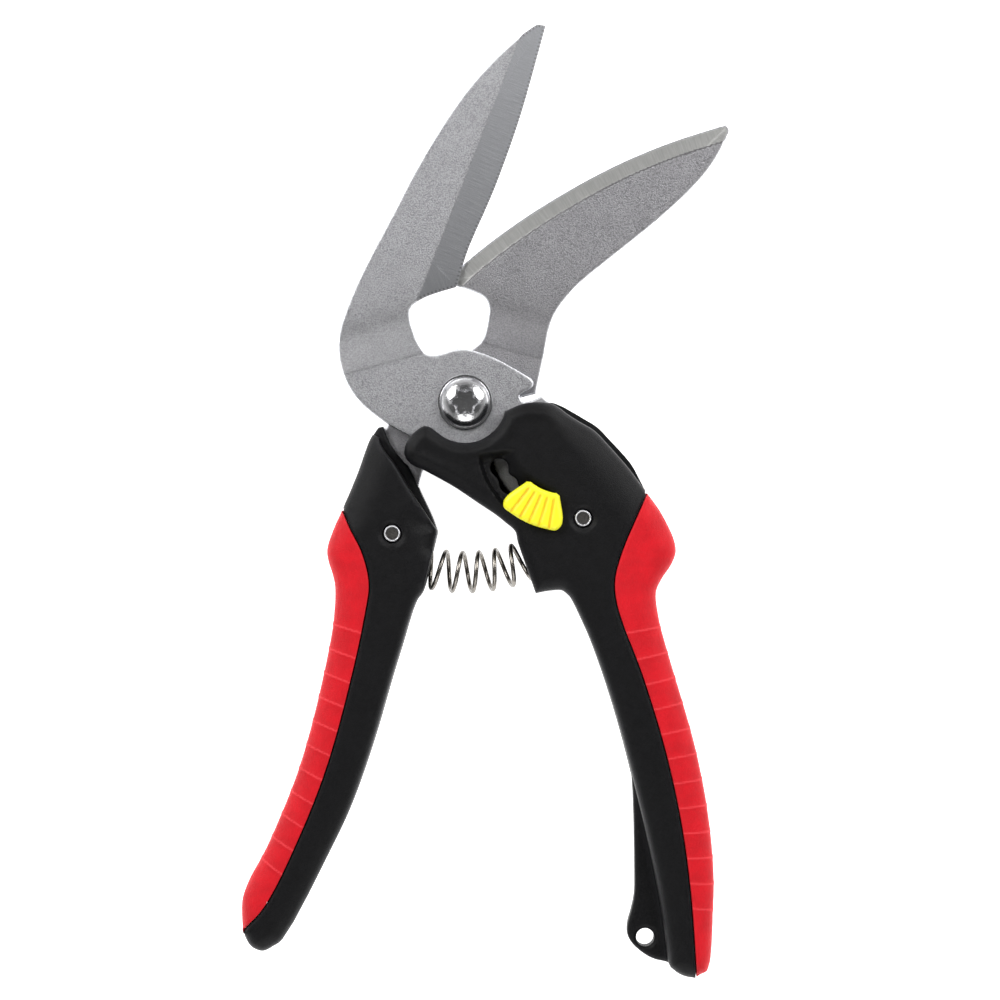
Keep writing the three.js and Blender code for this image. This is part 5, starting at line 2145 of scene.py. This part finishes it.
@dataclass
class ReturnSpring:
    """Coil spring whose axis is an arc about the bolt, from cup to cup."""
    outer_radius: float = 4.6
    wire: float = 0.95
    turns: float = 8.5
    first_angle: float = -18.9
    last_angle: float = 26.4
    steps_per_turn: int = 40
    wire_sides: int = 12
    closed_pitch: float = 1.1          # rise of a closed turn, in wire thicknesses
    spare: float = 0.2                 # share of its length past both ends

    def centre_line(self, turn: np.ndarray) -> np.ndarray:
        """Points of the wire's middle: a circle round the arc, one closed turn at each end.

        Args:
            turn: how many turns the wire has made at each point.

        Returns:
            The places, in three columns.
        """
        closed = self.wire * self.closed_pitch
        length = math.radians(self.last_angle - self.first_angle) * SPRING_ARC - self.wire
        shut = np.minimum(turn, 1) + np.maximum(0, turn - (self.turns - 1))
        pitch = (length - 2 * closed) / (self.turns - 2)
        run = self.wire / 2 + shut * closed + (turn - shut) * pitch
        angle = math.radians(self.first_angle) + run / SPRING_ARC
        coil = self.outer_radius - self.wire / 2
        radius = SPRING_ARC + coil * np.cos(2 * math.pi * turn)
        height = centre_mm("return_spring")[2] + coil * np.sin(2 * math.pi * turn)
        return np.stack([radius * np.sin(angle), -radius * np.cos(angle), height], axis=1)

    def build(self, shop: Workshop) -> None:
        """Carries a circle along the wire's middle and closes both ends.

        Args:
            shop: the workshop.
        """
        count = int(self.turns * self.steps_per_turn)
        turn = np.linspace(0, self.turns, count)
        path = self.centre_line(turn)
        tangent = np.gradient(path, axis=0)
        tangent /= np.linalg.norm(tangent, axis=1)[:, None]
        sweep = math.radians(self.last_angle - self.first_angle)
        angle = math.radians(self.first_angle) + turn / self.turns * sweep
        middle = np.stack([SPRING_ARC * np.sin(angle), -SPRING_ARC * np.cos(angle),
                           np.full(count, path[:, 2].mean())], axis=1)
        outward = path - middle
        outward -= (outward * tangent).sum(1)[:, None] * tangent
        outward /= np.linalg.norm(outward, axis=1)[:, None]
        aside = np.cross(tangent, outward)
        around = np.arange(self.wire_sides) * 2 * math.pi / self.wire_sides
        places = path[:, None] + self.wire / 2 * (outward[:, None] * np.cos(around)[:, None]
                                                  + aside[:, None] * np.sin(around)[:, None])
        index = np.arange(count * self.wire_sides).reshape(count, self.wire_sides)
        quads = np.stack([index[:-1], np.roll(index, -1, 1)[:-1], np.roll(index, -1, 1)[1:],
                          index[1:]], axis=-1).reshape(-1, 4)
        first, last = count * self.wire_sides, count * self.wire_sides + 1
        ring = np.roll(index, -1, axis=1)
        triangles = np.concatenate([
            np.stack([np.full(self.wire_sides, first), ring[0], index[0]], 1),
            np.stack([np.full(self.wire_sides, last), index[-1], ring[-1]], 1)])
        vertices = np.concatenate([places.reshape(-1, 3), path[:1], path[-1:]])
        piece = make_piece("return_spring_coil", vertices, triangles, quads, crease=60.0)
        shop.fit(piece, "spring", None, Slot.BRIGHT, "return_spring")
        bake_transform(piece)


# ---- Studio ---------------------------------------------------------------------------------
@dataclass
class Studio:
    """Pale floor, three soft lights, an even surround and the camera straight above."""
    view_centre: tuple[float, float] = (0.0074, -0.0207)
    view_width: float = 0.2116
    distance: float = 0.55
    sharp_height: float = 0.0095       # the view's width is measured at this height
    floor_drop: float = 0.0006
    zenith: float = 0.1
    horizon: float = 0.75
    floor_half: float = 1.5
    lamps: tuple[tuple, ...] = (("soft_left", (-0.42, 0.34, 0.5), 0.4, 3.3),
                                ("soft_right", (0.45, 0.36, 0.5), 0.4, 3.3),
                                ("soft_front", (0.0, -0.55, 0.45), 0.5, 1.7))

    def floor(self) -> None:
        """A large pale floor just under the shears."""
        corners = np.array([[-1, -1], [1, -1], [1, 1], [-1, 1]]) * self.floor_half * METRE
        vertices = np.column_stack([corners, np.full(4, -self.floor_drop * METRE)])
        plane = make_piece("floor", vertices, np.empty((0, 3), int), np.array([[0, 1, 2, 3]]))
        material = bpy.data.materials.new("pale_floor")
        material.use_nodes = True
        graph = Graph(material.node_tree)
        shader = graph.add("ShaderNodeBsdfPrincipled",
                           {"Base Color": (0.86, 0.86, 0.86, 1), "Roughness": 0.9,
                            "Emission Color": (1, 1, 1, 1), "Emission Strength": 1.0})
        graph.add("ShaderNodeOutputMaterial", {0: shader.outputs[0]})
        plane.data.materials.append(material)

    def light(self, name: str, place: tuple, size: float, power: float) -> None:
        """A square soft light that faces the middle of the shears.

        Args:
            name: name of the light.
            place: where it is, from the middle of the view.
            size: width of the square.
            power: its power in watts.
        """
        data = bpy.data.lights.new(name, "AREA")
        data.size, data.energy = size, power
        lamp = bpy.data.objects.new(name, data)
        bpy.context.scene.collection.objects.link(lamp)
        lamp.location = np.array([*self.view_centre, 0.0]) + np.array(place)
        lamp.rotation_euler = Vector(place).to_track_quat("Z", "Y").to_euler()

    def camera(self) -> None:
        """Camera over the middle of the view, its top towards the blade tips."""
        data = bpy.data.cameras.new("camera")
        data.lens = data.sensor_width * self.distance / self.view_width
        data.clip_start, data.clip_end = 0.01, 10
        eye = bpy.data.objects.new("camera", data)
        eye.location = (*self.view_centre, self.distance + self.sharp_height)
        bpy.context.scene.collection.objects.link(eye)
        bpy.context.scene.camera = eye

    def world(self) -> None:
        """Pale surround, brighter towards the horizon."""
        world = bpy.data.worlds.new("surround")
        world.use_nodes = True
        graph = Graph(world.node_tree)
        way = graph.add("ShaderNodeTexCoord").outputs["Generated"]
        height = graph.add("ShaderNodeSeparateXYZ", {0: way}).outputs[2]
        glow = graph.math("SUBTRACT", 1.0, graph.between(height, 0.1, 0.8))
        strength = graph.math("MULTIPLY_ADD", glow, self.horizon - self.zenith, self.zenith)
        back = graph.add("ShaderNodeBackground", {0: (1, 1, 1, 1), 1: strength})
        graph.add("ShaderNodeOutputWorld", {0: back.outputs[0]})
        bpy.context.scene.world = world
        bpy.context.scene.view_settings.view_transform = "Standard"

    def build(self) -> None:
        """Sets up the whole studio."""
        self.floor()
        self.camera()
        self.world()
        for lamp in self.lamps:
            self.light(*lamp)


def main() -> None:
    """Builds every piece in order and reports it."""
    logging.basicConfig(level=logging.INFO, format="%(message)s")
    shop = Workshop()
    Studio().build()
    UpperBlade(node="upper_blade", piece_name="upper_blade_plate", finish="upper", body=Body.RIGHT,
               handle="right", crank_angle=105.4, crank_start=13.1).build(shop)
    LowerBlade(node="lower_blade", piece_name="lower_blade_plate", finish="lower", body=Body.LEFT,
               handle="left", crank_angle=75.7, crank_start=13.8).build(shop)
    RightHandle().build(shop)
    LeftHandle().build(shop)
    Hardware().build(shop)
    Lock().build(shop)
    ReturnSpring().build(shop)


if __name__ == "__main__":
    main()
